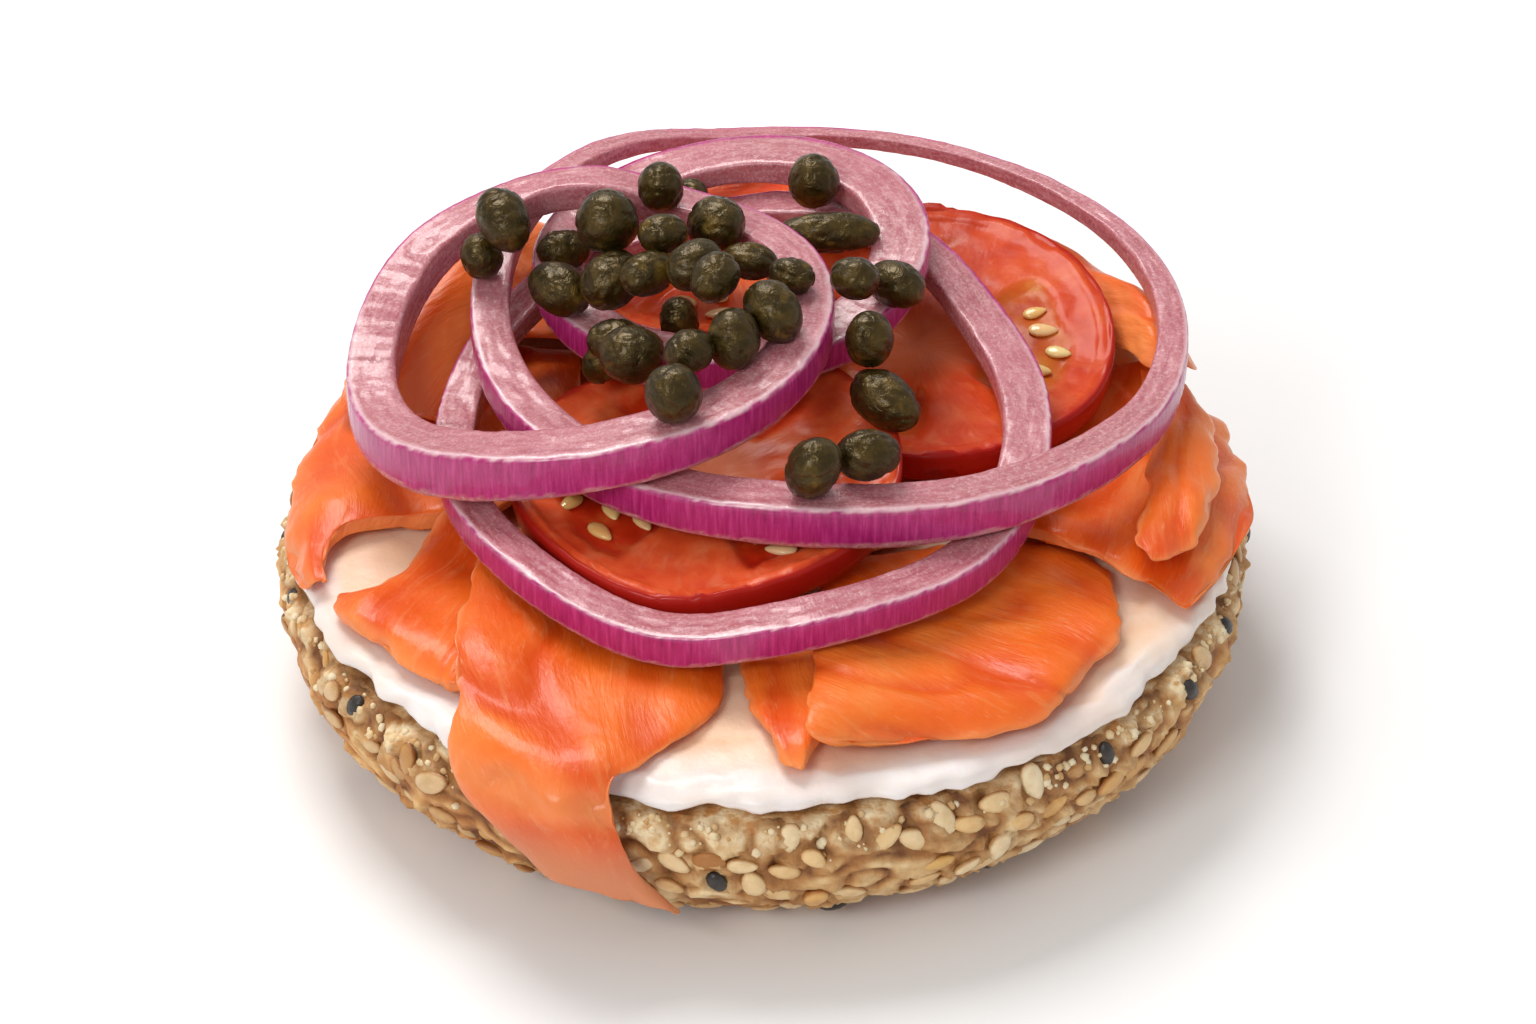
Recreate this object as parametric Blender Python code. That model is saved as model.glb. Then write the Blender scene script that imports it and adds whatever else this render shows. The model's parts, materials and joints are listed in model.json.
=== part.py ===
"""Open-faced bagel sandwich: half a seeded bagel with cream cheese, salmon, tomato, onion and capers.

Every size below is in millimetres. solid() turns a finished shape into metres.
The origin is under the middle of the whole sandwich, on the surface that it stands on, with +Z up.
The pieces are laid from the bottom up. Each one comes to rest on the pieces that are already there.
"""

import math

import bmesh
import bpy
import numpy as np
from mathutils import Matrix, Vector, noise
from mathutils.bvhtree import BVHTree

MM = 0.001

# Space left between two pieces that touch
GAP = 0.35

# Higher than anything here, and a way down that is longer than that
SKY = 60.0
WAY_DOWN = 150.0

# Bagel half, lying on its crust with the cut face up
BAGEL_RADIUS = 51.3
BULGE = 1.6
OVAL = 0.9
BULGE_ANGLE = math.radians(-105)
CUT_HEIGHT = 17.0
HOLE_RADIUS = 11.5
SIDE_BULGE = 0.8
UNDER_RADIUS = 14.3
HOLE_UNDER_RADIUS = 6.0
BAGEL_STEPS = 72
RIM_ROUNDING = 1.0
CRAG_DEPTH = 0.55
CRAG_SIZE = 5.0

# Seeds baked into the crust
SEED_COUNT = 58
SEED_LENGTH = 3.3
SEED_WIDTH = 2.1
SEED_DEPTH = 1.3
SEED_PROUD = 0.2
SEED_DRAW = 7
SEED_TOP = 0.08
SEED_REACH = 0.62
SECOND_STEP = 0.7548777
DRAPE_FROM = math.radians(-136)
DRAPE_TO = math.radians(-98)

# Cream cheese
CREAM_HOLE = 13.5
CREAM_THICKNESS = 2.7
CREAM_STEPS = 56
CREAM_TOP = CUT_HEIGHT + GAP + CREAM_THICKNESS

# Smoked salmon
SALMON_THICKNESS = 1.8
RIM_DROOP = 0.09
MOST_DROOP = 5.0
RIM_START = 45.0
DRAPE_CORNER = 2.6

RAGGED = 0.9

# Tomato
TOMATO_THICKNESS = 3.6
TOMATO_STEPS = 28
POCKET_DEPTH = 0.7
POCKET_FROM = 0.38
POCKET_TO = 0.8

# Red onion
RING_STEPS = 32
RING_BEND = (3.6, 22.0)

# Capers, each with its place in plan, length, width, lean of its long axis, heading and drawn-out tip
CAPERS = (
    (-30.5, 13.5, 5.0, 5.0, 0, 0, 0.0),
    (-28.0, 13.0, 6.9, 6.0, 125, -60, 0.15),
    (-11.5, 20.0, 5.4, 5.4, 0, 0, 0.0),
    (-8.5, 28.5, 4.8, 4.6, 0, 0, 0.0),
    (-5.5, 14.5, 6.9, 6.5, 60, -60, 0.05),
    (-22.0, 17.5, 5.8, 4.7, 90, 10, 0.0),
    (-22.0, 10.0, 7.0, 6.0, 80, 150, 0.08),
    (-16.5, 8.0, 6.9, 6.4, 70, 40, 0.05),
    (-12.5, 5.0, 6.3, 5.1, 90, 35, 0.0),
    (-7.5, 3.5, 6.3, 5.8, 80, 20, 0.0),
    (-2.0, 9.0, 5.8, 4.5, 90, -10, 0.05),
    (2.5, 3.5, 4.8, 4.2, 90, -20, 0.05),
    (-17.5, 2.5, 4.8, 4.4, 20, 0, 0.0),
    (-16.0, 0.5, 5.8, 4.8, 90, 15, 0.0),
    (-9.5, 11.0, 5.0, 4.7, 0, 0, 0.05),
    (-5.5, -1.0, 5.7, 5.2, 70, 50, 0.0),
    (0.5, -3.5, 6.6, 6.2, 120, -50, 0.12),
    (-3.5, -7.5, 6.3, 5.9, 30, 90, 0.0),
    (-8.0, -10.0, 5.2, 4.9, 80, 20, 0.0),
    (-14.0, -4.5, 6.8, 6.5, 90, 0, 0.0),
    (-9.5, -16.5, 5.9, 6.4, 0, 0, 0.08),
    (5.0, 26.5, 5.7, 6.1, 0, 0, 0.2),
    (6.5, 18.0, 11.0, 4.8, 90, 3, 0.0),
    (9.0, 3.5, 5.2, 4.9, 90, -30, 0.0),
    (13.5, 8.5, 6.5, 5.5, 90, -35, 0.0),
    (12.0, -5.5, 7.8, 6.3, 100, -45, 0.25),
    (10.0, -19.0, 6.5, 5.7, 90, 10, 0.05),
    (4.5, -22.0, 6.5, 5.9, 30, 0, 0.1),
    (-11.0, 9.5, 5.2, 4.8, 90, 10, 0.0),
    (-17.0, 13.0, 6.5, 7.2, 0, 0, 0.15),
    (10.5, -1.5, 5.7, 5.5, 0, 0, 0.1),
)

GOLDEN_ANGLE = math.pi * (3 - math.sqrt(5))

placed_points = []
placed_faces = []


def clear_scene():
    for obj in list(bpy.data.objects):
        bpy.data.objects.remove(obj, do_unlink=True)


def make_material(name, colour, roughness):
    material = bpy.data.materials.new(name)
    material.use_nodes = True
    shader = material.node_tree.nodes["Principled BSDF"]
    shader.inputs["Base Color"].default_value = (*colour, 1.0)
    shader.inputs["Roughness"].default_value = roughness
    shader.inputs["Metallic"].default_value = 0.0
    material.diffuse_color = (*colour, 1.0)
    return material


def bumps(x, y, z, size, seed):
    """Smooth noise from about -1 to 1 whose bumps are about this size."""
    return noise.noise(Vector((x / size + seed, y / size - seed, z / size)))


def turn_about(axis, angle):
    return Matrix.Rotation(angle, 3, axis)


def add_to_pile(bm):
    """Remembers a finished shape, so that the next piece can rest on it."""
    first = len(placed_points)
    bm.verts.index_update()
    placed_points.extend(tuple(vert.co) for vert in bm.verts)
    for face in bm.faces:
        corners = [vert.index + first for vert in face.verts]
        for i in range(1, len(corners) - 1):
            placed_faces.append((corners[0], corners[i], corners[i + 1]))


def pile():
    return BVHTree.FromPolygons(placed_points, placed_faces, epsilon=0.0)


def object_of(name, bm, material):
    mesh = bpy.data.meshes.new(name)
    bm.to_mesh(mesh)
    mesh.shade_smooth()
    mesh.set_sharp_from_angle(angle=math.radians(50))
    mesh.materials.append(material)
    obj = bpy.data.objects.new(name, mesh)
    bpy.context.scene.collection.objects.link(obj)
    return obj


def solid(name, bm, material):
    """Makes the object of a shape in millimetres and adds the shape to the pile."""
    bmesh.ops.recalc_face_normals(bm, faces=bm.faces[:])
    add_to_pile(bm)
    bmesh.ops.scale(bm, vec=(MM, MM, MM), verts=bm.verts[:])
    obj = object_of(name, bm, material)
    bm.free()
    return obj


def turned(profile, steps, closed):
    """Spins a profile of (radius, height) points once round the Z axis."""
    bm = bmesh.new()
    verts = [bm.verts.new((radius, 0, height)) for radius, height in profile]
    for first, second in zip(verts, verts[1:]):
        bm.edges.new((first, second))
    if closed:
        bm.edges.new((verts[-1], verts[0]))
    bmesh.ops.spin(
        bm,
        geom=bm.verts[:] + bm.edges[:],
        cent=(0, 0, 0),
        axis=(0, 0, 1),
        angle=2 * math.pi,
        steps=steps,
        use_merge=True,
    )
    bmesh.ops.remove_doubles(bm, verts=bm.verts[:], dist=0.0001)
    return bm


def arc(centre_r, centre_z, radius, from_deg, to_deg, steps):
    points = []
    for i in range(steps + 1):
        angle = math.radians(from_deg + (to_deg - from_deg) * i / steps)
        points.append((centre_r + radius * math.cos(angle), centre_z + radius * math.sin(angle)))
    return points


def plan_radius(angle):
    """Radius of the bagel at the cut, which is slightly egg-shaped."""
    turn = angle - BULGE_ANGLE
    return BAGEL_RADIUS + BULGE * math.cos(turn) + OVAL * math.cos(2 * turn)


def bagel_profile():
    """Section of the bagel from the hole, over the cut face, down the crust and back under."""
    rim = BAGEL_RADIUS
    side = rim + SIDE_BULGE
    flat_to = side - UNDER_RADIUS
    flat_from = HOLE_RADIUS + HOLE_UNDER_RADIUS
    points = [(HOLE_RADIUS + 0.6, CUT_HEIGHT), (rim / 2, CUT_HEIGHT), (rim * 0.78, CUT_HEIGHT)]
    points += [(rim - RIM_ROUNDING, CUT_HEIGHT), (rim, CUT_HEIGHT - 0.8 * RIM_ROUNDING)]
    points += [(rim + 0.6, CUT_HEIGHT - 3 * RIM_ROUNDING)]
    points += arc(flat_to, UNDER_RADIUS, UNDER_RADIUS, 0, -90, 7)
    points += [((flat_to + flat_from) / 2, 0)]
    points += arc(flat_from, HOLE_UNDER_RADIUS, HOLE_UNDER_RADIUS, -90, -180, 3)
    points += [(HOLE_RADIUS, CUT_HEIGHT - 5)]
    return points


def shape_bagel(bm):
    """Gives the turned ring its egg-shaped plan, and its crust the crags of a bake."""
    for vert in bm.verts:
        x, y, z = vert.co
        radius = math.hypot(x, y)
        angle = math.atan2(y, x)
        share = max(0.0, (radius - HOLE_RADIUS) / (BAGEL_RADIUS - HOLE_RADIUS))
        radius += share * (plan_radius(angle) - BAGEL_RADIUS)
        on_base = z < 0.05
        on_cut = z > CUT_HEIGHT - 0.05
        if not on_base and not on_cut:
            crag = bumps(x, y, z, CRAG_SIZE, 3.1) + 0.5 * bumps(x, y, z, CRAG_SIZE / 2, 8.4)
            radius += CRAG_DEPTH * crag * (1 if radius > 30 else -1)
            z += 0.3 * CRAG_DEPTH * crag * min(1.0, z / 4)
        vert.co = (radius * math.cos(angle), radius * math.sin(angle), max(0.0, z))


def crust_point(angle, along):
    """Point and outward normal on the crust: along runs from 0 at the rim to 1 at the flat base."""
    side = plan_radius(angle) + SIDE_BULGE
    top = CUT_HEIGHT - 1.5 * RIM_ROUNDING
    straight = top - UNDER_RADIUS
    quarter = UNDER_RADIUS * math.pi / 2
    run = along * (straight + quarter)
    if run < straight:
        radius, height, slope = side, top - run, 0.0
    else:
        slope = (run - straight) / UNDER_RADIUS
        radius = side - UNDER_RADIUS + UNDER_RADIUS * math.cos(slope)
        height = UNDER_RADIUS - UNDER_RADIUS * math.sin(slope)
    out = Vector((math.cos(angle) * math.cos(slope), math.sin(angle) * math.cos(slope), -math.sin(slope)))
    return Vector((radius * math.cos(angle), radius * math.sin(angle), height)), out


def seed_objects(collection, crust, material):
    """Flat oval seeds, partly sunk in the crust, spread evenly with a little scatter."""
    draw = np.random.default_rng(SEED_DRAW)
    for i in range(SEED_COUNT):
        angle = (i * GOLDEN_ANGLE + math.pi) % (2 * math.pi) - math.pi
        along = SEED_TOP + SEED_REACH * ((i * SECOND_STEP) % 1.0)
        turn = draw.uniform(0, math.pi)
        size = draw.uniform(0.85, 1.1)
        if DRAPE_FROM < angle < DRAPE_TO:
            continue
        point, out = crust_point(angle, along)
        hit, _, _, _ = crust.ray_cast(point + out * SEED_LENGTH, -out, WAY_DOWN)
        if hit is None:
            continue
        bm = bmesh.new()
        bmesh.ops.create_icosphere(bm, subdivisions=1, radius=1.0)
        half = Vector((SEED_LENGTH, SEED_WIDTH, SEED_DEPTH)) * 0.5 * size
        bmesh.ops.scale(bm, vec=half, verts=bm.verts[:])
        facing = out.to_track_quat("Z", "Y").to_matrix()
        spin = Vector((0, 0, 1))
        bmesh.ops.rotate(bm, verts=bm.verts[:], cent=(0, 0, 0), matrix=turn_about(spin, turn))
        bmesh.ops.rotate(bm, verts=bm.verts[:], cent=(0, 0, 0), matrix=facing)
        bmesh.ops.translate(bm, verts=bm.verts[:], vec=hit + out * SEED_PROUD)
        bmesh.ops.scale(bm, vec=(MM, MM, MM), verts=bm.verts[:])
        obj = object_of(f"seed {i}", bm, material)
        bm.free()
        bpy.context.scene.collection.objects.unlink(obj)
        collection.objects.link(obj)


def make_bagel():
    crust = make_material("bagel crust", (0.60, 0.38, 0.17), 0.75)
    bm = turned(bagel_profile(), BAGEL_STEPS, closed=True)
    shape_bagel(bm)
    bmesh.ops.recalc_face_normals(bm, faces=bm.faces[:])
    bmesh.ops.triangulate(bm, faces=bm.faces[:])
    surface = BVHTree.FromBMesh(bm)
    bmesh.ops.scale(bm, vec=(MM, MM, MM), verts=bm.verts[:])
    bagel = object_of("bagel", bm, crust)
    bm.free()
    seeds = bpy.data.collections.new("seeds")
    bpy.context.scene.collection.children.link(seeds)
    seed_objects(seeds, surface, crust)
    union = bagel.modifiers.new("seeds", "BOOLEAN")
    union.operation = "UNION"
    union.operand_type = "COLLECTION"
    union.collection = seeds
    union.solver = "EXACT"
    apply_modifiers(bagel)
    for obj in list(seeds.objects):
        bpy.data.objects.remove(obj, do_unlink=True)
    bpy.data.collections.remove(seeds)
    bm = bmesh.new()
    bm.from_mesh(bagel.data)
    bmesh.ops.scale(bm, vec=(1 / MM, 1 / MM, 1 / MM), verts=bm.verts[:])
    add_to_pile(bm)
    bm.free()


def apply_modifiers(obj):
    graph = bpy.context.evaluated_depsgraph_get()
    finished = bpy.data.meshes.new_from_object(obj.evaluated_get(graph))
    obj.modifiers.clear()
    old = obj.data
    obj.data = finished
    bpy.data.meshes.remove(old)
    finished.name = obj.name


def make_cream():
    """A spread ring whose edge wanders near the rim, with the strokes of a knife on top."""
    white = make_material("cream cheese", (0.93, 0.86, 0.76), 0.45)
    low = CUT_HEIGHT + GAP
    profile = [(CREAM_HOLE, low), (BAGEL_RADIUS, low), (BAGEL_RADIUS + 0.9, low + 1.2)]
    profile += [(BAGEL_RADIUS, CREAM_TOP - 0.2), (44, CREAM_TOP), (30, CREAM_TOP)]
    profile += [(CREAM_HOLE, CREAM_TOP - 0.5)]
    bm = turned(profile, CREAM_STEPS, closed=True)
    for vert in bm.verts:
        x, y, z = vert.co
        radius = math.hypot(x, y)
        angle = math.atan2(y, x)
        share = max(0.0, (radius - CREAM_HOLE) / (BAGEL_RADIUS - CREAM_HOLE))
        edge = plan_radius(angle) - BAGEL_RADIUS - 1.6 + 1.0 * bumps(x, y, 0, 9.0, 5.2)
        radius += share**3 * edge
        if z > low + 1.5:
            z += 0.35 * bumps(x * 0.5, y, 0, 7.0, 1.7) * (1 - share**4)
        vert.co = (radius * math.cos(angle), radius * math.sin(angle), z)
    bmesh.ops.triangulate(bm, faces=bm.faces[:])
    solid("cream_cheese", bm, white)


def curve_through(points, u):
    """Point at u from 0 to 1 on a smooth curve through the points."""
    count = len(points)
    spot = min(u * (count - 1), count - 1.0001)
    i = int(spot)
    t = spot - i
    p0, p1, p2, p3 = (np.array(points[min(max(k, 0), count - 1)], float) for k in range(i - 1, i + 3))
    square = 2 * p0 - 5 * p1 + 4 * p2 - p3
    cube = 3 * p1 - p0 - 3 * p2 + p3
    return 0.5 * (2 * p1 + (p2 - p0) * t + square * t**2 + cube * t**3)


def flat_frame(x, y):
    """Where a slice lies that stays on top: level, and drooping a little past the rim."""
    past = max(0.0, math.hypot(x, y) - RIM_START)
    droop = MOST_DROOP * (1 - math.exp(-RIM_DROOP * past**2 / MOST_DROOP))
    return Vector((x, y, CREAM_TOP - droop)), Vector((0, 0, 1))


def hanging_frame(x, y):
    """Where a slice lies that goes over the rim: the distance from the middle runs on down the side."""
    angle = math.atan2(y, x)
    run = math.hypot(x, y)
    out = Vector((math.cos(angle), math.sin(angle), 0))
    flat_to = plan_radius(angle) + SIDE_BULGE + 0.7 - DRAPE_CORNER
    corner = DRAPE_CORNER * math.pi / 2
    if run <= flat_to:
        return out * run + Vector((0, 0, CREAM_TOP)), Vector((0, 0, 1))
    if run <= flat_to + corner:
        bend = (run - flat_to) / DRAPE_CORNER
        radius = flat_to + DRAPE_CORNER * math.sin(bend)
        height = CREAM_TOP - DRAPE_CORNER * (1 - math.cos(bend))
        return out * radius + Vector((0, 0, height)), out * math.sin(bend) + Vector((0, 0, math.cos(bend)))
    down = run - flat_to - corner
    return out * (flat_to + DRAPE_CORNER) + Vector((0, 0, CREAM_TOP - DRAPE_CORNER - down)), out


def needed_lift(tree, point, normal, reach=30.0, depth=4.0):
    """How far above the point, along the normal, the pile reaches there."""
    hit, _, _, distance = tree.ray_cast(point + normal * reach, -normal, reach + depth)
    return -depth if hit is None else reach - distance


def neighbours(values):
    """A grid of values and its eight copies that are shifted by one step."""
    rows, columns = values.shape
    grown = np.pad(values, 1, mode="edge")
    return [grown[i : i + rows, j : j + columns] for i in range(3) for j in range(3)]


def spread(values):
    """Each value becomes the highest of its neighbours."""
    return np.max(neighbours(values), axis=0)


def blurred(values):
    """Each value becomes the mean of its neighbours."""
    return np.mean(neighbours(values), axis=0)


def weights(coarse, fine):
    """Rows that blend the coarse stations of a line into its fine samples."""
    table = np.zeros((fine, coarse))
    for i in range(fine):
        spot = min(i / (fine - 1) * (coarse - 1), coarse - 1.0001)
        table[i, int(spot)] = 1 - (spot - int(spot))
        table[i, int(spot) + 1] = spot - int(spot)
    return table


def resting_lift(need, rows, columns):
    """Smooth lift of each grid point that keeps the whole sheet above what it needs."""
    along = weights(rows, need.shape[0])
    across = weights(columns, need.shape[1])
    row_at = np.linspace(0, need.shape[0] - 1, rows).astype(int)
    column_at = np.linspace(0, need.shape[1] - 1, columns).astype(int)
    lift = blurred(spread(spread(need))[np.ix_(row_at, column_at)])
    for _ in range(40):
        short = need - along @ lift @ across.T
        if short.max() <= 0:
            break
        raise_by = np.zeros_like(lift)
        for i, j in zip(*np.nonzero(short > 0)):
            spot = np.outer(along[i], across[j])
            raise_by = np.maximum(raise_by, spot * short[i, j] * 1.3)
        lift = lift + raise_by
    return lift


def lay_sheet(name, edges, rows, columns, material, wave, frame=flat_frame, heap=0.0):
    """A thin slice between two edge curves, which drapes over what already lies there.

    edges holds pairs of plan points, one on each long edge, from one end of the slice to the other.
    wave is the height, the length and the phase of its ripples. heap raises its middle into a fold.
    """
    tree = pile()
    finer = 4
    fine_rows = (rows - 1) * finer + 1
    fine_columns = (columns - 1) * finer + 1
    one_side = [pair[0] for pair in edges]
    other_side = [pair[1] for pair in edges]
    seed = sum(ord(letter) for letter in name) * 0.37

    def plan(u, v):
        a = curve_through(one_side, u)
        b = curve_through(other_side, u)
        x, y = a + (b - a) * v
        rag = RAGGED * abs(2 * v - 1) ** 3
        x += rag * bumps(u * 40, v * 7, seed, 3.0, 2.2)
        y += rag * bumps(u * 40, v * 7, seed, 3.0, 9.3)
        return x, y

    need = np.zeros((fine_rows, fine_columns))
    for i in range(fine_rows):
        for j in range(fine_columns):
            x, y = plan(i / (fine_rows - 1), j / (fine_columns - 1))
            point, normal = frame(x, y)
            need[i, j] = max(needed_lift(tree, point, normal), 0.0) + GAP
            if frame is flat_frame and math.hypot(x, y) > RIM_START:
                need[i, j] = needed_lift(tree, point, normal) + GAP
    need = spread(need)
    lift = resting_lift(need, rows, columns)
    height, length, phase = wave
    bm = bmesh.new()
    bmesh.ops.create_grid(bm, x_segments=rows - 1, y_segments=columns - 1, size=0.5)
    number = bm.verts.layers.int.new("grid number")
    ordered = sorted(bm.verts, key=lambda vert: (round(vert.co.x, 4), round(vert.co.y, 4)))
    ups = []
    for k, vert in enumerate(ordered):
        i, j = divmod(k, columns)
        u, v = i / (rows - 1), j / (columns - 1)
        x, y = plan(u, v)
        point, normal = frame(x, y)
        roll = height * (0.5 + 0.5 * math.sin((x * 0.8 + y) / length * 2 * math.pi + phase))
        roll += 0.25 * (1 + bumps(x, y, seed, 6.0, 4.4))
        roll += heap * math.sin(math.pi * v) * math.sin(math.pi * u) ** 0.5
        vert[number] = k
        vert.co = point + normal * (lift[i, j] + roll)
        edge = max(abs(2 * u - 1), abs(2 * v - 1))
        ups.append(normal * SALMON_THICKNESS * (1 - 0.45 * edge**6))
    bmesh.ops.triangulate(bm, faces=bm.faces[:], quad_method="FIXED")
    grown = bmesh.ops.extrude_face_region(bm, geom=bm.faces[:], use_keep_orig=True)
    for vert in [item for item in grown["geom"] if isinstance(item, bmesh.types.BMVert)]:
        vert.co += ups[vert[number]]
    solid(name, bm, material)


def top_of_pile(tree, x, y):
    """Height of the pile at a plan point, or None past its edge."""
    hit, _, _, _ = tree.ray_cast(Vector((x, y, SKY)), Vector((0, 0, -1)), WAY_DOWN)
    return None if hit is None else hit.z


def between(bm, parts=3):
    """Points spread over the faces of a shape, closer together than its corners."""
    points = []
    for face in bm.faces:
        corners = [vert.co for vert in face.verts]
        for k in range(1, len(corners) - 1):
            a, b, c = corners[0], corners[k], corners[k + 1]
            for i in range(parts + 1):
                for j in range(parts + 1 - i):
                    points.append(a + (b - a) * (i / parts) + (c - a) * (j / parts))
    return points


def drop(bm):
    """Moves a stiff shape straight down from above until it rests on the pile."""
    tree = pile()
    bmesh.ops.translate(bm, verts=bm.verts[:], vec=(0, 0, SKY))
    falls = []
    for point in between(bm):
        hit, _, _, distance = tree.ray_cast(point, Vector((0, 0, -1)), WAY_DOWN)
        if hit is not None:
            falls.append(distance)
    bmesh.ops.translate(bm, verts=bm.verts[:], vec=(0, 0, GAP - min(falls)))


def eased(distance, plateau, reach):
    """1 up to the plateau, then a smooth fall to 0 at the reach."""
    if distance <= plateau:
        return 1.0
    if distance >= reach:
        return 0.0
    share = (distance - plateau) / (reach - plateau)
    return 0.5 + 0.5 * math.cos(math.pi * share)


def bend_over_pile(samples, plateau, reach):
    """Bends a springy piece over what lies under it.

    samples holds (x, y, height of its underside where it would lie flat). The result is a function
    of x and y that says how far the piece is raised there. A piece that touches nothing sinks until it does.
    """
    tree = pile()
    pushes = []
    for x, y, low in samples:
        top = top_of_pile(tree, x, y)
        if top is not None:
            pushes.append((x, y, top + GAP - low))
    sink = min(0.0, max(push for _, _, push in pushes))
    raised = [(x, y, push - sink) for x, y, push in pushes if push - sink > 0.0]

    def lift(x, y):
        best = 0.0
        for sx, sy, push in raised:
            best = max(best, push * eased(math.hypot(x - sx, y - sy), plateau, reach))
        return best + sink

    return lift


def disc_samples(radius, circles=14, spokes=40):
    """Plan points spread over a disc round the origin."""
    points = []
    for i in range(circles):
        for j in range(spokes):
            reach = radius * (i + 0.5) / circles
            angle = j / spokes * 2 * math.pi
            points.append((reach * math.cos(angle), reach * math.sin(angle)))
    return points


def make_tomato(name, centre, radius, middle, rise, locules, turn, material):
    """A round slice with sunk seed pockets.

    middle is the height of its underside at the centre, and rise is its slope in x and y.
    """
    height = TOMATO_THICKNESS
    profile = [(0, 0), (radius - 2, 0), (radius - 0.4, 0.7), (radius, height - 1.0)]
    profile += [(radius - 0.9, height - 0.1)]
    profile += [(radius * share, height) for share in (0.84, 0.74, 0.42, 0.3)]
    profile += [(0, height)]
    samples = []
    for x, y in disc_samples(radius + 0.8):
        samples.append((x + centre[0], y + centre[1], middle + rise[0] * x + rise[1] * y - 0.25))
    lift = bend_over_pile(samples, 4.0, radius * 1.1)
    bm = turned(profile, TOMATO_STEPS, closed=False)
    for vert in bm.verts:
        x, y, z = vert.co
        distance = math.hypot(x, y)
        angle = math.atan2(y, x)
        share = distance / radius
        in_pocket = POCKET_FROM < share < POCKET_TO and math.cos(locules * angle + turn) > -0.35
        if z > height - 0.05 and in_pocket:
            z -= POCKET_DEPTH
        z += 0.25 * bumps(x, y, 0, 14.0, turn)
        x *= 1 + 0.02 * math.cos(2 * angle + turn)
        y *= 1 - 0.03 * math.cos(3 * angle + turn)
        z += middle + rise[0] * x + rise[1] * y
        vert.co = (x + centre[0], y + centre[1], z + lift(x + centre[0], y + centre[1]))
    bmesh.ops.triangulate(bm, faces=bm.faces[:])
    solid(name, bm, material)


def make_ring(name, centre, radii, middle, rise, band, depth, material):
    """A ring of red onion: centre, the two outer radii, and the height of its mid-plane.

    rise is its slope in x and y. band is the ring's width, how much the width changes round it, and
    the direction of its widest place. depth is the thickness of the slice at the front and at the back.
    """

    def spot(angle, inset):
        """Plan point, measured from the ring's centre, this far in from its outer edge."""
        outer = Vector((radii[0] * math.cos(angle), radii[1] * math.sin(angle), 0))
        outer *= 1 - inset / outer.length
        return outer.x, outer.y

    def flat_height(x, y):
        return middle + rise[0] * x + rise[1] * y

    def width_at(angle):
        return band[0] + band[1] * math.cos(angle - math.radians(band[2]))

    def half_at(angle):
        towards_back = (1 + math.sin(angle)) / 2
        return (depth[0] + (depth[1] - depth[0]) * towards_back) / 2

    samples = []
    for degrees in range(0, 360, 2):
        angle = math.radians(degrees)
        for share in (-0.1, 0.2, 0.5, 0.8, 1.1):
            x, y = spot(angle, share * width_at(angle))
            samples.append((x + centre[0], y + centre[1], flat_height(x, y) - half_at(angle)))
    lift = bend_over_pile(samples, *RING_BEND)
    blank = 10
    section = [(0.0, -0.75), (-0.15, 0.8), (0.5, 1.0), (1.5, 1.0), (2.0, 0.75), (1.8, -0.85), (0.6, -1.0)]
    profile = [(blank - inward, height) for inward, height in section]
    bm = turned(profile, RING_STEPS, closed=True)
    for vert in bm.verts:
        inward = blank - math.hypot(vert.co.x, vert.co.y)
        angle = math.atan2(vert.co.y, vert.co.x)
        inset = inward if inward < 1 else width_at(angle) + inward - 2
        x, y = spot(angle, inset)
        height = flat_height(x, y) + vert.co.z * half_at(angle)
        vert.co = (x + centre[0], y + centre[1], height + lift(x + centre[0], y + centre[1]))
    bmesh.ops.triangulate(bm, faces=bm.faces[:])
    solid(name, bm, material)


def caper_shape(length, width, lean, heading, tip):
    """An egg-shaped bud round the origin. lean tips its long axis over, and heading turns it in plan."""
    bm = bmesh.new()
    bmesh.ops.create_uvsphere(bm, u_segments=7, v_segments=5, radius=1.0)
    for vert in bm.verts:
        x, y, z = vert.co
        drawn_out = 1 + tip * max(0.0, z) ** 4
        dent = 1 + 0.05 * bumps(x * 3, y * 3, z * 3, 1.6, length + width)
        vert.co = (x * dent * width / 2, y * dent * width / 2, z * drawn_out * length / 2)
    tilt = turn_about(Vector((0, 1, 0)), math.radians(lean))
    aim = turn_about(Vector((0, 0, 1)), math.radians(heading))
    bmesh.ops.rotate(bm, verts=bm.verts[:], cent=(0, 0, 0), matrix=aim @ tilt)
    bmesh.ops.triangulate(bm, faces=bm.faces[:])
    return bm


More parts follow.
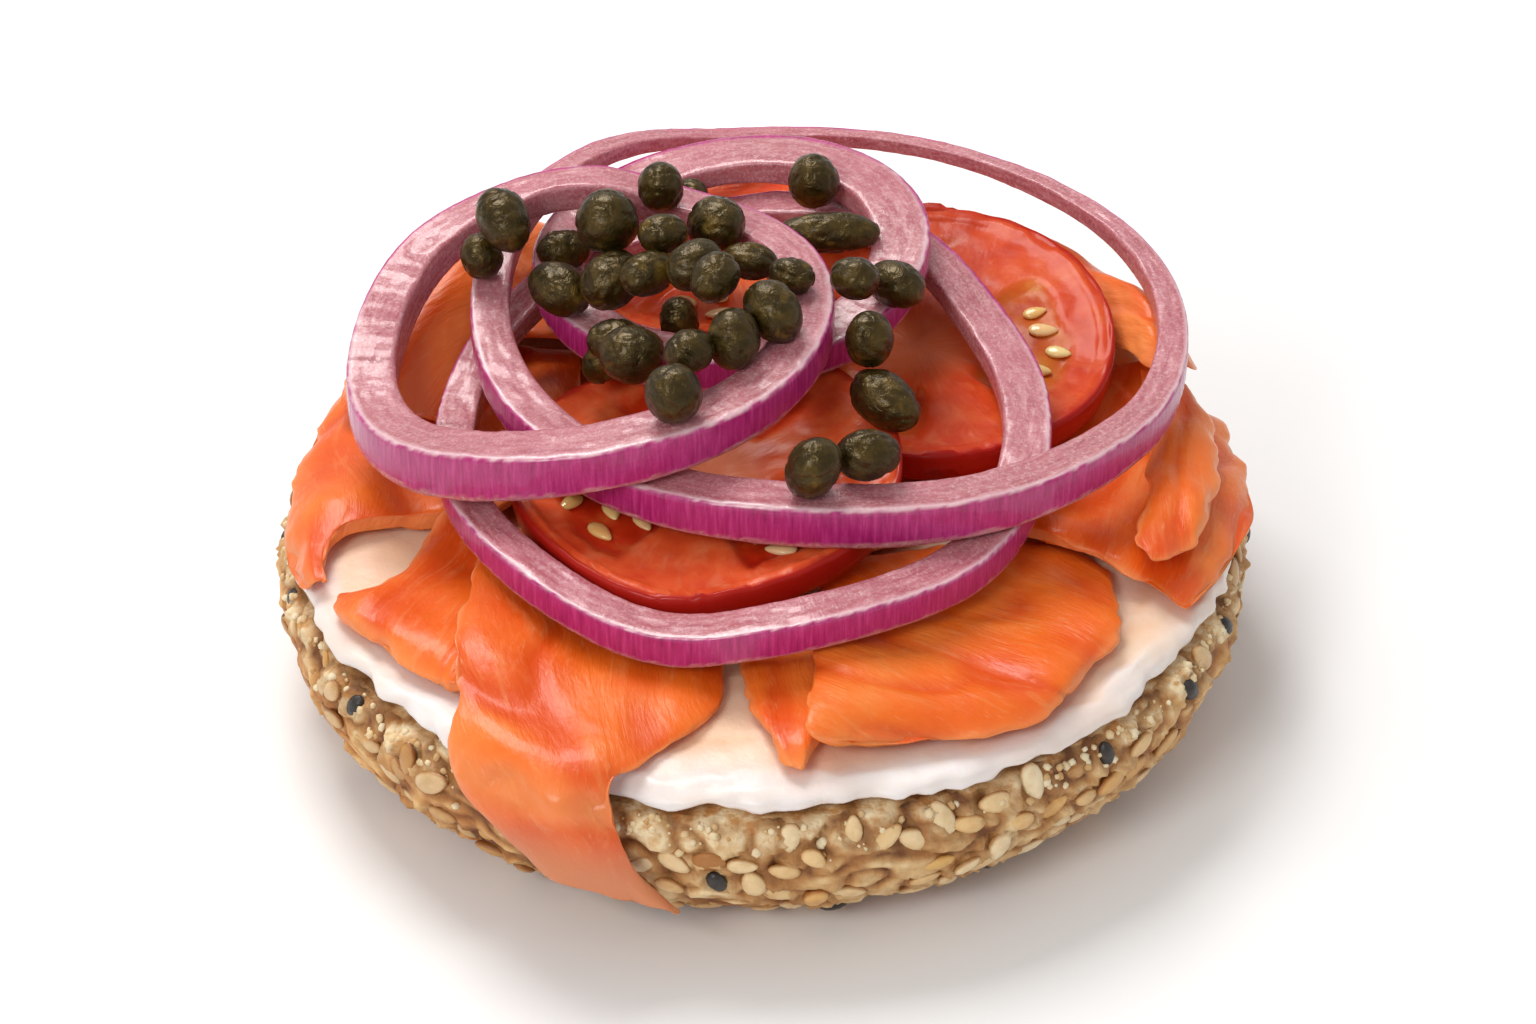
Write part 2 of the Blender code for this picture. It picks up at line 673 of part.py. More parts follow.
def lay_salmon():
    """Ten slices and a folded heap. Each list runs along a slice, with its two edges at each step."""
    pink = make_material("smoked salmon", (0.85, 0.28, 0.10), 0.35)

    middle = [((-23, 14), (-22, -8)), ((-8, 19), (-8, -16))]
    middle += [((6, 17), (6, -16)), ((17, 10), (17, -10))]
    lay_sheet("salmon_middle", middle, 8, 7, pink, (0.0, 14.0, 0.0))

    left = [((-42, 26), (-20, 24)), ((-47, 17), (-20, 14)), ((-50, 5), (-20, 2))]
    left += [((-50.5, -4), (-26, -8)), ((-51, -11), (-40, -10)), ((-49, -16), (-45, -13))]
    left += [((-47.5, -20), (-45, -20))]
    lay_sheet("salmon_left", left, 11, 7, pink, (0.6, 15.0, 1.0))

    back = [((-34, 22), (-42, 29)), ((-26, 20), (-32, 41)), ((-14, 20), (-17, 48))]
    back += [((-2, 20), (-3, 51)), ((8, 20), (12, 49)), ((18, 22), (22, 44))]
    lay_sheet("salmon_back", back, 12, 8, pink, (1.2, 13.0, 2.0))

    heap = [((-46, 6), (-34, 4)), ((-46, 14), (-31, 12)), ((-42, 23), (-28, 20))]
    heap += [((-37, 32), (-27, 26)), ((-31.5, 39), (-23, 31)), ((-25, 44), (-18, 36))]
    lay_sheet("salmon_heap", heap, 10, 6, pink, (0.8, 9.0, 0.4), heap=6.5)

    lobe = [((-27, -12), (-26, -30)), ((-30, -9), (-28, -37)), ((-34, -10), (-32, -37.5))]
    lobe += [((-37, -17), (-37, -33)), ((-40, -22), (-41, -28.5)), ((-44.5, -21.5), (-44, -24.5))]
    lay_sheet("salmon_lobe", lobe, 10, 7, pink, (0.2, 12.0, 0.5))

    point = [((-2.5, -22), (8, -22)), ((-2.5, -32), (8.5, -33)), ((-2.5, -38), (8.5, -39))]
    point += [((-1, -43), (6.5, -44)), ((1.5, -49.5), (3.5, -50))]
    lay_sheet("salmon_point", point, 9, 6, pink, (0.2, 12.0, 0.0))

    front = [((5, -20), (3.5, -49)), ((10, -17), (10.5, -48)), ((18, -13), (19, -46))]
    front += [((26, -12), (27, -42.5)), ((32, -14), (32, -35)), ((35.5, -18), (36, -28))]
    lay_sheet("salmon_front", front, 10, 9, pink, (0.4, 16.0, 0.8))

    right = [((29, -15), (43, -24.5)), ((19, -8), (47, -17)), ((19, -1), (51.5, -6))]
    right += [((19, 7), (51, 4)), ((21, 14), (49, 12)), ((25, 20), (44, 22))]
    lay_sheet("salmon_right", right, 11, 8, pink, (0.6, 11.0, 0.3))

    fold = [((37, -19), (39, -22)), ((39.5, -9), (44, -18)), ((40, 0), (46.5, -8))]
    fold += [((40, 8), (47.5, 4)), ((40, 16), (45, 14))]
    lay_sheet("salmon_fold", fold, 9, 5, pink, (0.9, 12.0, 2.2))

    mound = [((20, 33), (17, 47)), ((25, 31), (24, 47.5)), ((30, 27), (31, 45))]
    mound += [((35, 23), (38, 38)), ((38, 17), (44, 28)), ((41, 10), (47.5, 17))]
    lay_sheet("salmon_mound", mound, 11, 6, pink, (1.6, 9.0, 0.6), heap=6.0)

    drape = [((-28, -11), (-12, -20)), ((-30, -22), (-4.5, -32)), ((-31, -34), (-4.5, -40))]
    drape += [((-31, -41), (-10, -47)), ((-31, -47), (-14.5, -51)), ((-28.5, -54), (-14, -56))]
    drape += [((-24, -60), (-13, -61)), ((-13, -64), (-10, -65.5))]
    lay_sheet("salmon_drape", drape, 19, 7, pink, (0.2, 14.0, 0.0), frame=hanging_frame)


def lay_tomato():
    red = make_material("tomato", (0.75, 0.13, 0.04), 0.3)
    make_tomato("tomato_right", (16, 15.5), 21.2, 24.3, (0.0, 0.08), 3, 0.4, red)
    make_tomato("tomato_front", (-6.5, -10.3), 20.5, 23.2, (0.03, 0.03), 3, 2.0, red)
    make_tomato("tomato_back", (-5, 27.5), 17.0, 27.5, (0.06, 0.0), 4, 1.1, red)


def lay_onion():
    """Four rings that lean on each other: centre, radii, height, slope, width of the band, thickness."""
    purple = make_material("red onion", (0.62, 0.22, 0.36), 0.3)
    front = ((-2.6, -2.4), (32.2, 35.0), 27.4, (0.02, 0.14), (4.6, 0.5, 0), (3.4, 2.4))
    middle = ((-4.0, 19.8), (21.5, 19.0), 35.3, (0.05, 0.15), (6.0, 0.6, 60), (3.4, 2.4))
    large = ((6.6, 11.0), (38.2, 35.8), 32.8, (-0.04, 0.10), (3.6, -1.8, 75), (4.4, 1.6))
    left = ((-18.7, 2.6), (25.6, 23.6), 35.6, (0.20, 0.10), (5.2, 0.8, -90), (4.4, 3.0))
    for name, ring in (("front", front), ("middle", middle), ("large", large), ("left", left)):
        make_ring(f"onion_ring_{name}", *ring, purple)


def lay_capers():
    green = make_material("caper", (0.10, 0.10, 0.03), 0.3)
    for number, (x, y, length, width, lean, heading, tip) in enumerate(CAPERS, 1):
        bm = caper_shape(length, width, lean, heading, tip)
        bmesh.ops.translate(bm, verts=bm.verts[:], vec=(x, y, 0))
        drop(bm)
        solid(f"caper_{number:02d}", bm, green)


def put_over_origin():
    """Moves the whole sandwich so that the middle of its base is at the origin."""
    objects = list(bpy.context.scene.collection.objects)
    corners = np.array([tuple(vert.co) for obj in objects for vert in obj.data.vertices])
    low = corners.min(axis=0)
    high = corners.max(axis=0)
    shift = Vector((-(low[0] + high[0]) / 2, -(low[1] + high[1]) / 2, -low[2]))
    for obj in objects:
        obj.data.transform(Matrix.Translation(shift))


def main():
    clear_scene()
    make_bagel()
    make_cream()
    lay_salmon()
    lay_tomato()
    lay_onion()
    lay_capers()
    put_over_origin()


main()
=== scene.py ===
# %% [markdown]
# # An open-faced bagel sandwich
#
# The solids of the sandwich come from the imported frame. This lesson dresses them: each cell makes one
# food, from its shape to its finish. Sizes inside the shaping functions are in millimetres, because
# that is how a cook's ruler reads, and one function turns each finished shape into metres.

# %% The frame and its box
import json
import math

import bmesh
import bpy
import numpy as np
from mathutils import Matrix, Vector, noise
from mathutils.bvhtree import BVHTree
from mathutils.kdtree import KDTree

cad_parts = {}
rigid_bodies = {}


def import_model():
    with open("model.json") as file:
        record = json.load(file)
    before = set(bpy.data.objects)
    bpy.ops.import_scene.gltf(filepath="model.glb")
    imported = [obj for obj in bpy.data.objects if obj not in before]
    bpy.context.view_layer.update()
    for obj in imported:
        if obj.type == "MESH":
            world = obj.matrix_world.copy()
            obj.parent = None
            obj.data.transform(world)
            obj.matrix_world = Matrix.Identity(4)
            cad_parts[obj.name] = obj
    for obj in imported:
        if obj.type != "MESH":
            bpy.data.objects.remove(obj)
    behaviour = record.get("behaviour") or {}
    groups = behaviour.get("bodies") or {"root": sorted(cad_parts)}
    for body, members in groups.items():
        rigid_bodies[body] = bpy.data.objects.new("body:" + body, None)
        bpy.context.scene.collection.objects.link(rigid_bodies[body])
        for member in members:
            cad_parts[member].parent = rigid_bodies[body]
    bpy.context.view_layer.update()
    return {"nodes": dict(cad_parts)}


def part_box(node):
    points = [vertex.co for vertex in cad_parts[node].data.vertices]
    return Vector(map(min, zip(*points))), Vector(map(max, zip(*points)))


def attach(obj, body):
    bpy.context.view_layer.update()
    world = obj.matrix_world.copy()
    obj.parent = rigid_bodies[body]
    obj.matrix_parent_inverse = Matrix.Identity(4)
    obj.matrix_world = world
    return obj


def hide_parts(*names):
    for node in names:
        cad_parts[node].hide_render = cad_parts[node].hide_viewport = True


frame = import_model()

MM = 0.001

# %% [markdown]
# ## Camera
#
# The picture looks down on the sandwich at 35 degrees from close by, through a long lens, so the near
# rim is only a little larger than the far one. The camera aims at a point just behind the bagel's
# axis, and it is placed by stepping back from that point along the line of sight.

# %% Camera
AXIS = Vector((-0.02, 2.23, 0.0))
AIM = AXIS + Vector((0.0, 3.1, 14.4))
LOOK_DOWN = math.radians(35)
STEP_BACK = 450.0

camera_data = bpy.data.cameras.new("camera")
camera_data.sensor_width = 36.0
camera_data.lens = 97.7
camera_data.clip_start = 0.01
camera = bpy.data.objects.new("camera", camera_data)
bpy.context.scene.collection.objects.link(camera)
line_of_sight = Vector((0, math.cos(LOOK_DOWN), -math.sin(LOOK_DOWN)))
camera.location = (AIM - line_of_sight * STEP_BACK) * MM
camera.rotation_euler = line_of_sight.to_track_quat("-Z", "Y").to_euler()
bpy.context.scene.camera = camera
print("camera at", [round(value, 3) for value in camera.location])

# %% [markdown]
# ## Light and floor
#
# Food on a white sweep is lit by large soft sources. One big panel hangs above and behind, which puts
# the small bright glints on wet food, a weaker one fills from the front left, and a white world
# keeps the shadow pale. The floor is a plain off-white plane that fades into the background.

# %% Light and floor
scene = bpy.context.scene
scene.view_settings.view_transform = "Standard"
world = bpy.data.worlds.new("white room")
scene.world = world
world.use_nodes = True
world.node_tree.nodes["Background"].inputs["Color"].default_value = (1.0, 1.0, 1.0, 1.0)
world.node_tree.nodes["Background"].inputs["Strength"].default_value = 0.52


def soft_panel(name, place, size, power, colour):
    """A square area light that faces the sandwich."""
    panel_data = bpy.data.lights.new(name, "AREA")
    panel_data.size = size
    panel_data.energy = power
    panel_data.color = colour
    panel = bpy.data.objects.new(name, panel_data)
    scene.collection.objects.link(panel)
    panel.location = place
    panel.rotation_euler = (Vector((0, 0, 0.02)) - Vector(place)).to_track_quat("-Z", "Y").to_euler()
    return panel


soft_panel("panel above", (-0.14, 0.24, 0.50), 0.26, 2.1, (1.0, 0.985, 0.96))
soft_panel("panel front", (-0.30, -0.50, 0.46), 0.22, 1.6, (1.0, 0.99, 0.97))

floor_shape = bmesh.new()
bmesh.ops.create_grid(floor_shape, x_segments=1, y_segments=1, size=6.0)
floor_mesh = bpy.data.meshes.new("floor")
floor_shape.to_mesh(floor_mesh)
floor_shape.free()
floor = bpy.data.objects.new("floor", floor_mesh)
scene.collection.objects.link(floor)

# %% [markdown]
# ## A small helper for finishes
#
# Every finish below is a few nodes: a noise or two, a ramp that turns it into colour, and a bump. The
# helper class keeps a material and its Principled shader together, adds one node for each call, and
# returns the socket, so a finish reads from top to bottom like a recipe.

# %% Finishes
class Finish:
    """A material with its shader, and short calls that add the nodes of a recipe."""

    def __init__(self, name, **constants):
        self.material = bpy.data.materials.new(name)
        self.material.use_nodes = True
        self.tree = self.material.node_tree
        self.shader = self.tree.nodes["Principled BSDF"]
        for socket, value in constants.items():
            self.shader.inputs[socket.replace("_", " ")].default_value = value
        self.place = self.tree.nodes.new("ShaderNodeTexCoord").outputs["Object"]

    def wire(self, value, socket):
        if isinstance(value, bpy.types.NodeSocket):
            self.tree.links.new(value, socket)
        else:
            socket.default_value = value

    def noise(self, scale, detail=3.0, roughness=0.5, distortion=0.0, at=None):
        node = self.tree.nodes.new("ShaderNodeTexNoise")
        node.inputs["Scale"].default_value = scale
        node.inputs["Detail"].default_value = detail
        node.inputs["Roughness"].default_value = roughness
        node.inputs["Distortion"].default_value = distortion
        self.wire(at or self.place, node.inputs["Vector"])
        return node.outputs["Fac"]

    def attribute(self, name, output="Fac"):
        node = self.tree.nodes.new("ShaderNodeAttribute")
        node.attribute_name = name
        return node.outputs[output]

    def stretched(self, vector, scale):
        node = self.tree.nodes.new("ShaderNodeMapping")
        node.inputs["Scale"].default_value = scale
        self.wire(vector, node.inputs["Vector"])
        return node.outputs["Vector"]

    def ramp(self, value, *stops):
        node = self.tree.nodes.new("ShaderNodeValToRGB")
        band = node.color_ramp
        while len(band.elements) < len(stops):
            band.elements.new(0.5)
        for element, (position, colour) in zip(band.elements, stops):
            element.position = position
            element.color = (*colour, 1.0) if isinstance(colour, tuple) else (colour, colour, colour, 1.0)
        self.wire(value, node.inputs["Fac"])
        return node.outputs["Color"]

    def mix(self, share, first, second, kind="MIX"):
        node = self.tree.nodes.new("ShaderNodeMix")
        node.data_type = "RGBA"
        node.blend_type = kind
        node.clamp_factor = True
        self.wire(share, node.inputs["Factor"])
        for value, socket in ((first, node.inputs[6]), (second, node.inputs[7])):
            self.wire((*value, 1.0) if isinstance(value, tuple) else value, socket)
        return node.outputs[2]

    def sums(self, operation, first, second):
        node = self.tree.nodes.new("ShaderNodeMath")
        node.operation = operation
        node.use_clamp = operation != "ADD"
        self.wire(first, node.inputs[0])
        self.wire(second, node.inputs[1])
        return node.outputs[0]

    def bump(self, height, distance_mm, strength=1.0, under=None):
        node = self.tree.nodes.new("ShaderNodeBump")
        node.inputs["Strength"].default_value = strength
        node.inputs["Distance"].default_value = distance_mm * MM
        self.wire(height, node.inputs["Height"])
        if under is not None:
            self.wire(under, node.inputs["Normal"])
        return node.outputs["Normal"]

    def use(self, **sockets):
        for socket, value in sockets.items():
            self.wire(value, self.shader.inputs[socket.replace("_", " ")])
        return self.material


floor_finish = Finish("white sweep", Base_Color=(0.93, 0.93, 0.93, 1.0), Roughness=0.9)
floor_finish.use(Base_Color=floor_finish.ramp(floor_finish.noise(3.0), (0.0, 0.925), (1.0, 0.935)))
floor.data.materials.append(floor_finish.material)
print("finish", floor_finish.material.name)

# %% [markdown]
# ## Helpers for shapes
#
# A cook's slices are soft, so most shapes here begin as a copy of a solid from the frame: its loose
# triangles are merged, joined to quads and smoothed by Catmull-Clark, then roughened by noise. The
# alternative, building each slice anew, would drift away from the solid that it stands for.

# %% Shapes
def ripple(x, y, z, size, seed=0.0):
    """Smooth noise from about -1 to 1 with bumps of this size in millimetres."""
    return noise.noise(Vector((x / size + seed, y / size - seed, z / size + 2 * seed)))


def step_between(low, high, value):
    """0 below low, 1 above high and a smooth rise between."""
    share = min(1.0, max(0.0, (value - low) / (high - low)))
    return share * share * (3 - 2 * share)


def solid_copy(*nodes):
    """A merged copy of CAD nodes, in millimetres."""
    shape = bmesh.new()
    for node in nodes:
        shape.from_mesh(frame["nodes"][node].data)
    bmesh.ops.scale(shape, vec=(1 / MM, 1 / MM, 1 / MM), verts=shape.verts[:])
    bmesh.ops.remove_doubles(shape, verts=shape.verts[:], dist=0.01)
    return shape


def smoothed(shape, levels):
    """The shape after joining its triangles and smoothing it by Catmull-Clark."""
    bmesh.ops.join_triangles(
        shape, faces=shape.faces[:], angle_face_threshold=0.9, angle_shape_threshold=1.2
    )
    mesh = bpy.data.meshes.new("smoothing")
    shape.to_mesh(mesh)
    shape.free()
    helper = bpy.data.objects.new("smoothing", mesh)
    scene.collection.objects.link(helper)
    smooth = helper.modifiers.new("smooth", "SUBSURF")
    smooth.levels = levels
    smooth.render_levels = levels
    finished = bmesh.new()
    finished.from_object(helper, bpy.context.evaluated_depsgraph_get())
    bpy.data.objects.remove(helper)
    bpy.data.meshes.remove(mesh)
    return finished


def piece(name, shape, material, slot, *nodes):
    """Makes the object of a shape in millimetres, which stands for these nodes."""
    bmesh.ops.recalc_face_normals(shape, faces=shape.faces[:])
    bmesh.ops.scale(shape, vec=(MM, MM, MM), verts=shape.verts[:])
    mesh = bpy.data.meshes.new(name)
    shape.to_mesh(mesh)
    shape.free()
    mesh.shade_smooth()
    mesh.materials.append(material)
    made = bpy.data.objects.new(name, mesh)
    scene.collection.objects.link(made)
    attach(made, "root")
    if nodes:
        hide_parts(*nodes)
    return made


def turned(profile, steps):
    """Spins a closed run of (radius, height) points round Z. Each vertex keeps its profile number."""
    shape = bmesh.new()
    number = shape.verts.layers.int.new("profile number")
    points = []
    for i, (radius, height) in enumerate(profile):
        point = shape.verts.new((radius, 0, height))
        point[number] = i
        points.append(point)
    for first, second in zip(points, points[1:] + points[:1]):
        shape.edges.new((first, second))
    bmesh.ops.spin(
        shape,
        geom=shape.verts[:] + shape.edges[:],
        cent=(0, 0, 0),
        axis=(0, 0, 1),
        angle=2 * math.pi,
        steps=steps,
        use_merge=True,
    )
    bmesh.ops.remove_doubles(shape, verts=shape.verts[:], dist=0.0001)
    return shape, number


def around(node):
    """What a ring or a round slice measures in each direction from its middle, as four smooth tables."""
    shape = solid_copy(node)
    low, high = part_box(node)
    middle = (low + high) / 2 / MM
    rows = []
    for vert in shape.verts:
        x, y = vert.co.x - middle.x, vert.co.y - middle.y
        if math.hypot(x, y) > 1.0:
            rows.append((math.atan2(y, x), math.hypot(x, y), vert.co.z))
    shape.free()
    rows.sort()
    groups = [[rows[0]]]
    for row in rows[1:]:
        if row[0] - groups[-1][-1][0] > 0.04:
            groups.append([])
        groups[-1].append(row)
    if rows[0][0] + 2 * math.pi - rows[-1][0] < 0.04 and len(groups) > 1:
        wrapped = [(angle - 2 * math.pi, radius, z) for angle, radius, z in groups.pop()]
        groups[0] = wrapped + groups[0]
    angles = [np.mean([row[0] for row in group]) for group in groups]
    fine = np.radians(np.arange(-180, 180, 0.5))
    kernel = np.exp(-0.5 * (np.arange(-20, 21) / 8.0) ** 2)
    kernel /= kernel.sum()
    tables = []
    for pick in (
        lambda group: max(row[1] for row in group),
        lambda group: min(row[1] for row in group),
        lambda group: max(row[2] for row in group),
        lambda group: min(row[2] for row in group),
    ):
        values = np.interp(fine, angles, [pick(group) for group in groups], period=2 * math.pi)
        wide = np.concatenate([values[-20:], values, values[:20]])
        tables.append(np.convolve(wide, kernel, mode="valid"))

    def at(angle):
        spot = int(round((math.degrees(angle) + 180) * 2)) % 720
        return [table[spot] for table in tables]

    return middle, at


print("helpers ready")

# %% [markdown]
# ## Bagel half
#
# The bagel was boiled and baked, then split: a tan crust bulges at the side and the cut face lies
# under the cheese. Its section is spun once round the axis, the same egg-shaped plan as the solid is
# applied, and noise of three sizes makes the crags between the seeds. A sculpted displacement by
# modifier would do as well, but plain vertex moves let the finish know where the crevices are.

# %% Bagel half
BAGEL_RADIUS = 51.3
CUT_HEIGHT = 17.0
UNDER_RADIUS = 14.3
HOLE_RADIUS = 11.5
SIDE_BULGE = 0.8
BULGE_ANGLE = math.radians(-105)


def plan_radius(angle):
    """Radius of the bagel at the cut, which is slightly egg-shaped."""
    turn = angle - BULGE_ANGLE
    return BAGEL_RADIUS + 1.6 * math.cos(turn) + 0.9 * math.cos(2 * turn)


def bagel_section():
    """The section from the hole over the cut face, down the crust and back under."""
    flat_to = BAGEL_RADIUS + SIDE_BULGE - UNDER_RADIUS
    section = [(radius, CUT_HEIGHT) for radius in np.linspace(HOLE_RADIUS + 0.6, BAGEL_RADIUS - 2.0, 12)]
    section += [(BAGEL_RADIUS - 1.4, CUT_HEIGHT), (BAGEL_RADIUS - 0.8, CUT_HEIGHT - 0.05)]
    section += [(BAGEL_RADIUS - 0.3, CUT_HEIGHT - 0.3), (BAGEL_RADIUS + 0.1, CUT_HEIGHT - 0.7)]
    section += [(BAGEL_RADIUS + 0.35, CUT_HEIGHT - 1.2), (BAGEL_RADIUS + 0.5, CUT_HEIGHT - 1.7)]
    section += [(BAGEL_RADIUS + 0.65, CUT_HEIGHT - 2.2)]
    for angle in np.radians(np.linspace(0, 90, 52)):
        section.append((flat_to + UNDER_RADIUS * math.cos(angle), UNDER_RADIUS * (1 - math.sin(angle))))
    section += [(radius, 0.0) for radius in np.linspace(flat_to - 2, HOLE_RADIUS + 6.5, 6)]
    for angle in np.radians(np.linspace(90, 180, 8)):
        section.append((HOLE_RADIUS + 6 + 6 * math.cos(angle), 6 - 6 * math.sin(angle)))
    section += [(HOLE_RADIUS, height) for height in np.linspace(7.5, CUT_HEIGHT - 0.8, 7)]
    return section


def browning(angle, height):
    """How dark the bake is here: golden brown at the left and right, pale in front, darker underneath."""
    sideways = 0.5 - 0.5 * math.cos(2 * (angle + math.radians(75)))
    return min(1.0, 0.08 + 0.80 * sideways + 0.45 * (1 - step_between(1.0, 7.0, height)))


crust, _ = turned(bagel_section(), 660)
relief = crust.verts.layers.float.new("relief")
bake_layer = crust.verts.layers.float.new("bake")
seam_layer = crust.verts.layers.float.new("seam")
rim_layer = crust.verts.layers.float.new("rim")
for vert in crust.verts:
    x, y, z = vert.co
    radius = math.hypot(x, y)
    angle = math.atan2(y, x)
    share = max(0.0, (radius - HOLE_RADIUS) / (BAGEL_RADIUS - HOLE_RADIUS))
    on_cut = z > CUT_HEIGHT - 0.03 and radius < BAGEL_RADIUS - 1.0
    crag = ripple(x, y, z, 5.0, 3.1) + 0.5 * ripple(x, y, z, 2.5, 8.4)
    crack = max(0.0, 1 - 3.2 * abs(ripple(x, y, 1.4 * z, 4.2, 12.7)))
    fine = ripple(x, y, z, 1.6, 1.3) + 0.7 * abs(ripple(x, y, z, 0.9, 5.9))
    crumb = ripple(x, y, z, 0.8, 14.3) + 0.8 * ripple(x, y, z, 2.0, 17.1)
    rim = step_between(CUT_HEIGHT - 3.6, CUT_HEIGHT - 0.9, z + 0.8 * ripple(x, y, 0, 3.0, 21.0))
    vert[relief] = 0.30 * crag + 0.35 * fine - 0.62 * crack
    vert[bake_layer] = browning(angle, z)
    vert[rim_layer] = rim if radius > 30 else 0.0
    radius += share * (plan_radius(angle) - BAGEL_RADIUS)
    if not on_cut and z > 0.02:
        grip = step_between(0.0, 2.5, z)
        swell = 0.70 * crag + 0.22 * fine - 0.70 * crack + 0.42 * crumb * rim
        radius += swell * grip * (1 if radius > 30 else -1)
        z += 0.2 * crag * grip + 0.25 * crumb * rim
    vert.co = Vector((radius * math.cos(angle), radius * math.sin(angle), max(0.0, z))) + AXIS
crust_surface = BVHTree.FromBMesh(crust)
print("bagel faces", len(crust.faces))

# %% [markdown]
# ### Crust finish
#
# Baked crust is tan where it stands proud and floury pale in patches, and its crevices are darker:
# partly browner bake, partly painted shade. The vertex attribute `relief` says how deep each point
# lies, `bake` how brown that side is, `rim` where the pale crumb shows and `seam` where a seed meets the
# dough. Noises break them up, and bump carries the grain that is too small for the mesh.

# %% Crust finish
bake = Finish("baked crust", Roughness=0.62, Subsurface_Weight=0.05, Subsurface_Scale=0.002)
depth = bake.sums("MULTIPLY_ADD", bake.attribute("relief"), 0.55)
depth.node.inputs[2].default_value = 0.5
patches = bake.noise(170.0, 4.0, 0.6)
gold_stops = ((0.30, (0.46, 0.16, 0.030)), (0.48, (0.70, 0.33, 0.080)), (0.66, (0.88, 0.58, 0.24)))
pale_stops = ((0.30, (0.50, 0.25, 0.080)), (0.48, (0.73, 0.48, 0.22)), (0.66, (0.89, 0.71, 0.43)))
gold = bake.ramp(patches, *gold_stops)
pale = bake.ramp(patches, *pale_stops)
skin = bake.mix(bake.attribute("bake"), pale, gold)
crumbs = bake.ramp(bake.noise(520.0, 3.0, 0.6), (0.36, (0.64, 0.35, 0.12)), (0.52, (0.88, 0.71, 0.45)))
skin = bake.mix(bake.attribute("rim"), skin, crumbs)
# Darker in the crevices by depth: partly browner bake, partly painted shade.
crevice_bake_and_shade = bake.ramp(depth, (0.14, (0.24, 0.11, 0.04)), (0.36, (0.66, 0.47, 0.30)), (0.56, (1.0, 1.0, 1.0)))
skin = bake.mix(1.0, skin, crevice_bake_and_shade, "MULTIPLY")
speckle = bake.ramp(bake.noise(700.0, 2.0), (0.34, (0.66, 0.56, 0.46)), (0.5, (1.0, 1.0, 1.0)))
skin = bake.mix(0.4, skin, speckle, "MULTIPLY")
skin = bake.mix(bake.sums("MULTIPLY", bake.attribute("seam"), 0.62), skin, (0.38, 0.165, 0.045))
grain = bake.bump(bake.noise(1500.0, 3.0, 0.6), 0.25, 0.7)
grain = bake.bump(bake.noise(520.0, 3.0, 0.6), 0.6, 0.7, grain)
crust_material = bake.use(Base_Color=skin, Normal=grain)
print("finish", crust_material.name)

# %% [markdown]
# ## Seeds and flakes on the crust
#
# The crust is dressed with sesame, a few black seeds and toasted onion flakes. Instances of one seed
# would do in a picture, but not in an export: here one small shape of each kind is copied into a
# single mesh. A ray from outside finds each place, the seed is laid along the crust, and the dough
# round it gets a brown seam and a low lip, so that the seed looks baked in.

# %% Seeds and flakes
def seed_template(length, width, depth_mm, taper, segments=10, rings=7):
    """One flat drop-shaped seed along X, as a mesh whose `proud` is 1 on top and 0 at its edge."""
    seed = bmesh.new()
    bmesh.ops.create_uvsphere(seed, u_segments=segments, v_segments=rings, radius=0.5)
    proud = seed.verts.layers.float.new("proud")
    turn = Matrix.Rotation(math.radians(90), 3, "Y")
    bmesh.ops.rotate(seed, verts=seed.verts[:], cent=(0, 0, 0), matrix=turn)
    for vert in seed.verts:
        narrow = 1 - taper * (vert.co.x + 0.5) ** 1.5
        vert[proud] = max(0.0, 2 * vert.co.z)
        tall = depth_mm * (0.6 + 0.4 * narrow)
        vert.co = (vert.co.x * length, vert.co.y * width * narrow, vert.co.z * tall)
    mesh = bpy.data.meshes.new("seed template")
    seed.to_mesh(mesh)
    seed.free()
    return mesh


def scattered(template, places):
    """Copies of a template, each with its own tint and browning.

    A place is a point, the outward normal there, a turn about it, a size and the spot on the surface.
    """
    shape = bmesh.new()
    tint = shape.verts.layers.float.new("tint")
    browned = shape.verts.layers.float.new("bake")
    for k, (point, out, turn, size, _) in enumerate(places):
        first = len(shape.verts)
        shape.from_mesh(template)
        shape.verts.ensure_lookup_table()
        own = shape.verts[first:]
        facing = out.to_track_quat("Z", "Y").to_matrix().to_4x4()
        spin = Matrix.Rotation(turn, 4, "Z")
        placed = Matrix.Translation(point) @ facing @ spin @ Matrix.Scale(size, 4)
        bmesh.ops.transform(shape, matrix=placed, verts=own)
        from_axis = point - AXIS
        brown = browning(math.atan2(from_axis.y, from_axis.x), point.z)
        for vert in own:
            vert[tint] = (k * 0.618034) % 1.0
            vert[browned] = brown
    return shape


def surface_of(*nodes):
    """The surface of some nodes, for finding what lies near a point."""
    shape = solid_copy(*nodes)
    surface = BVHTree.FromBMesh(shape)
    shape.free()
    return surface


fish_surface = surface_of(*(name for name in frame["nodes"] if name.startswith("salmon")))


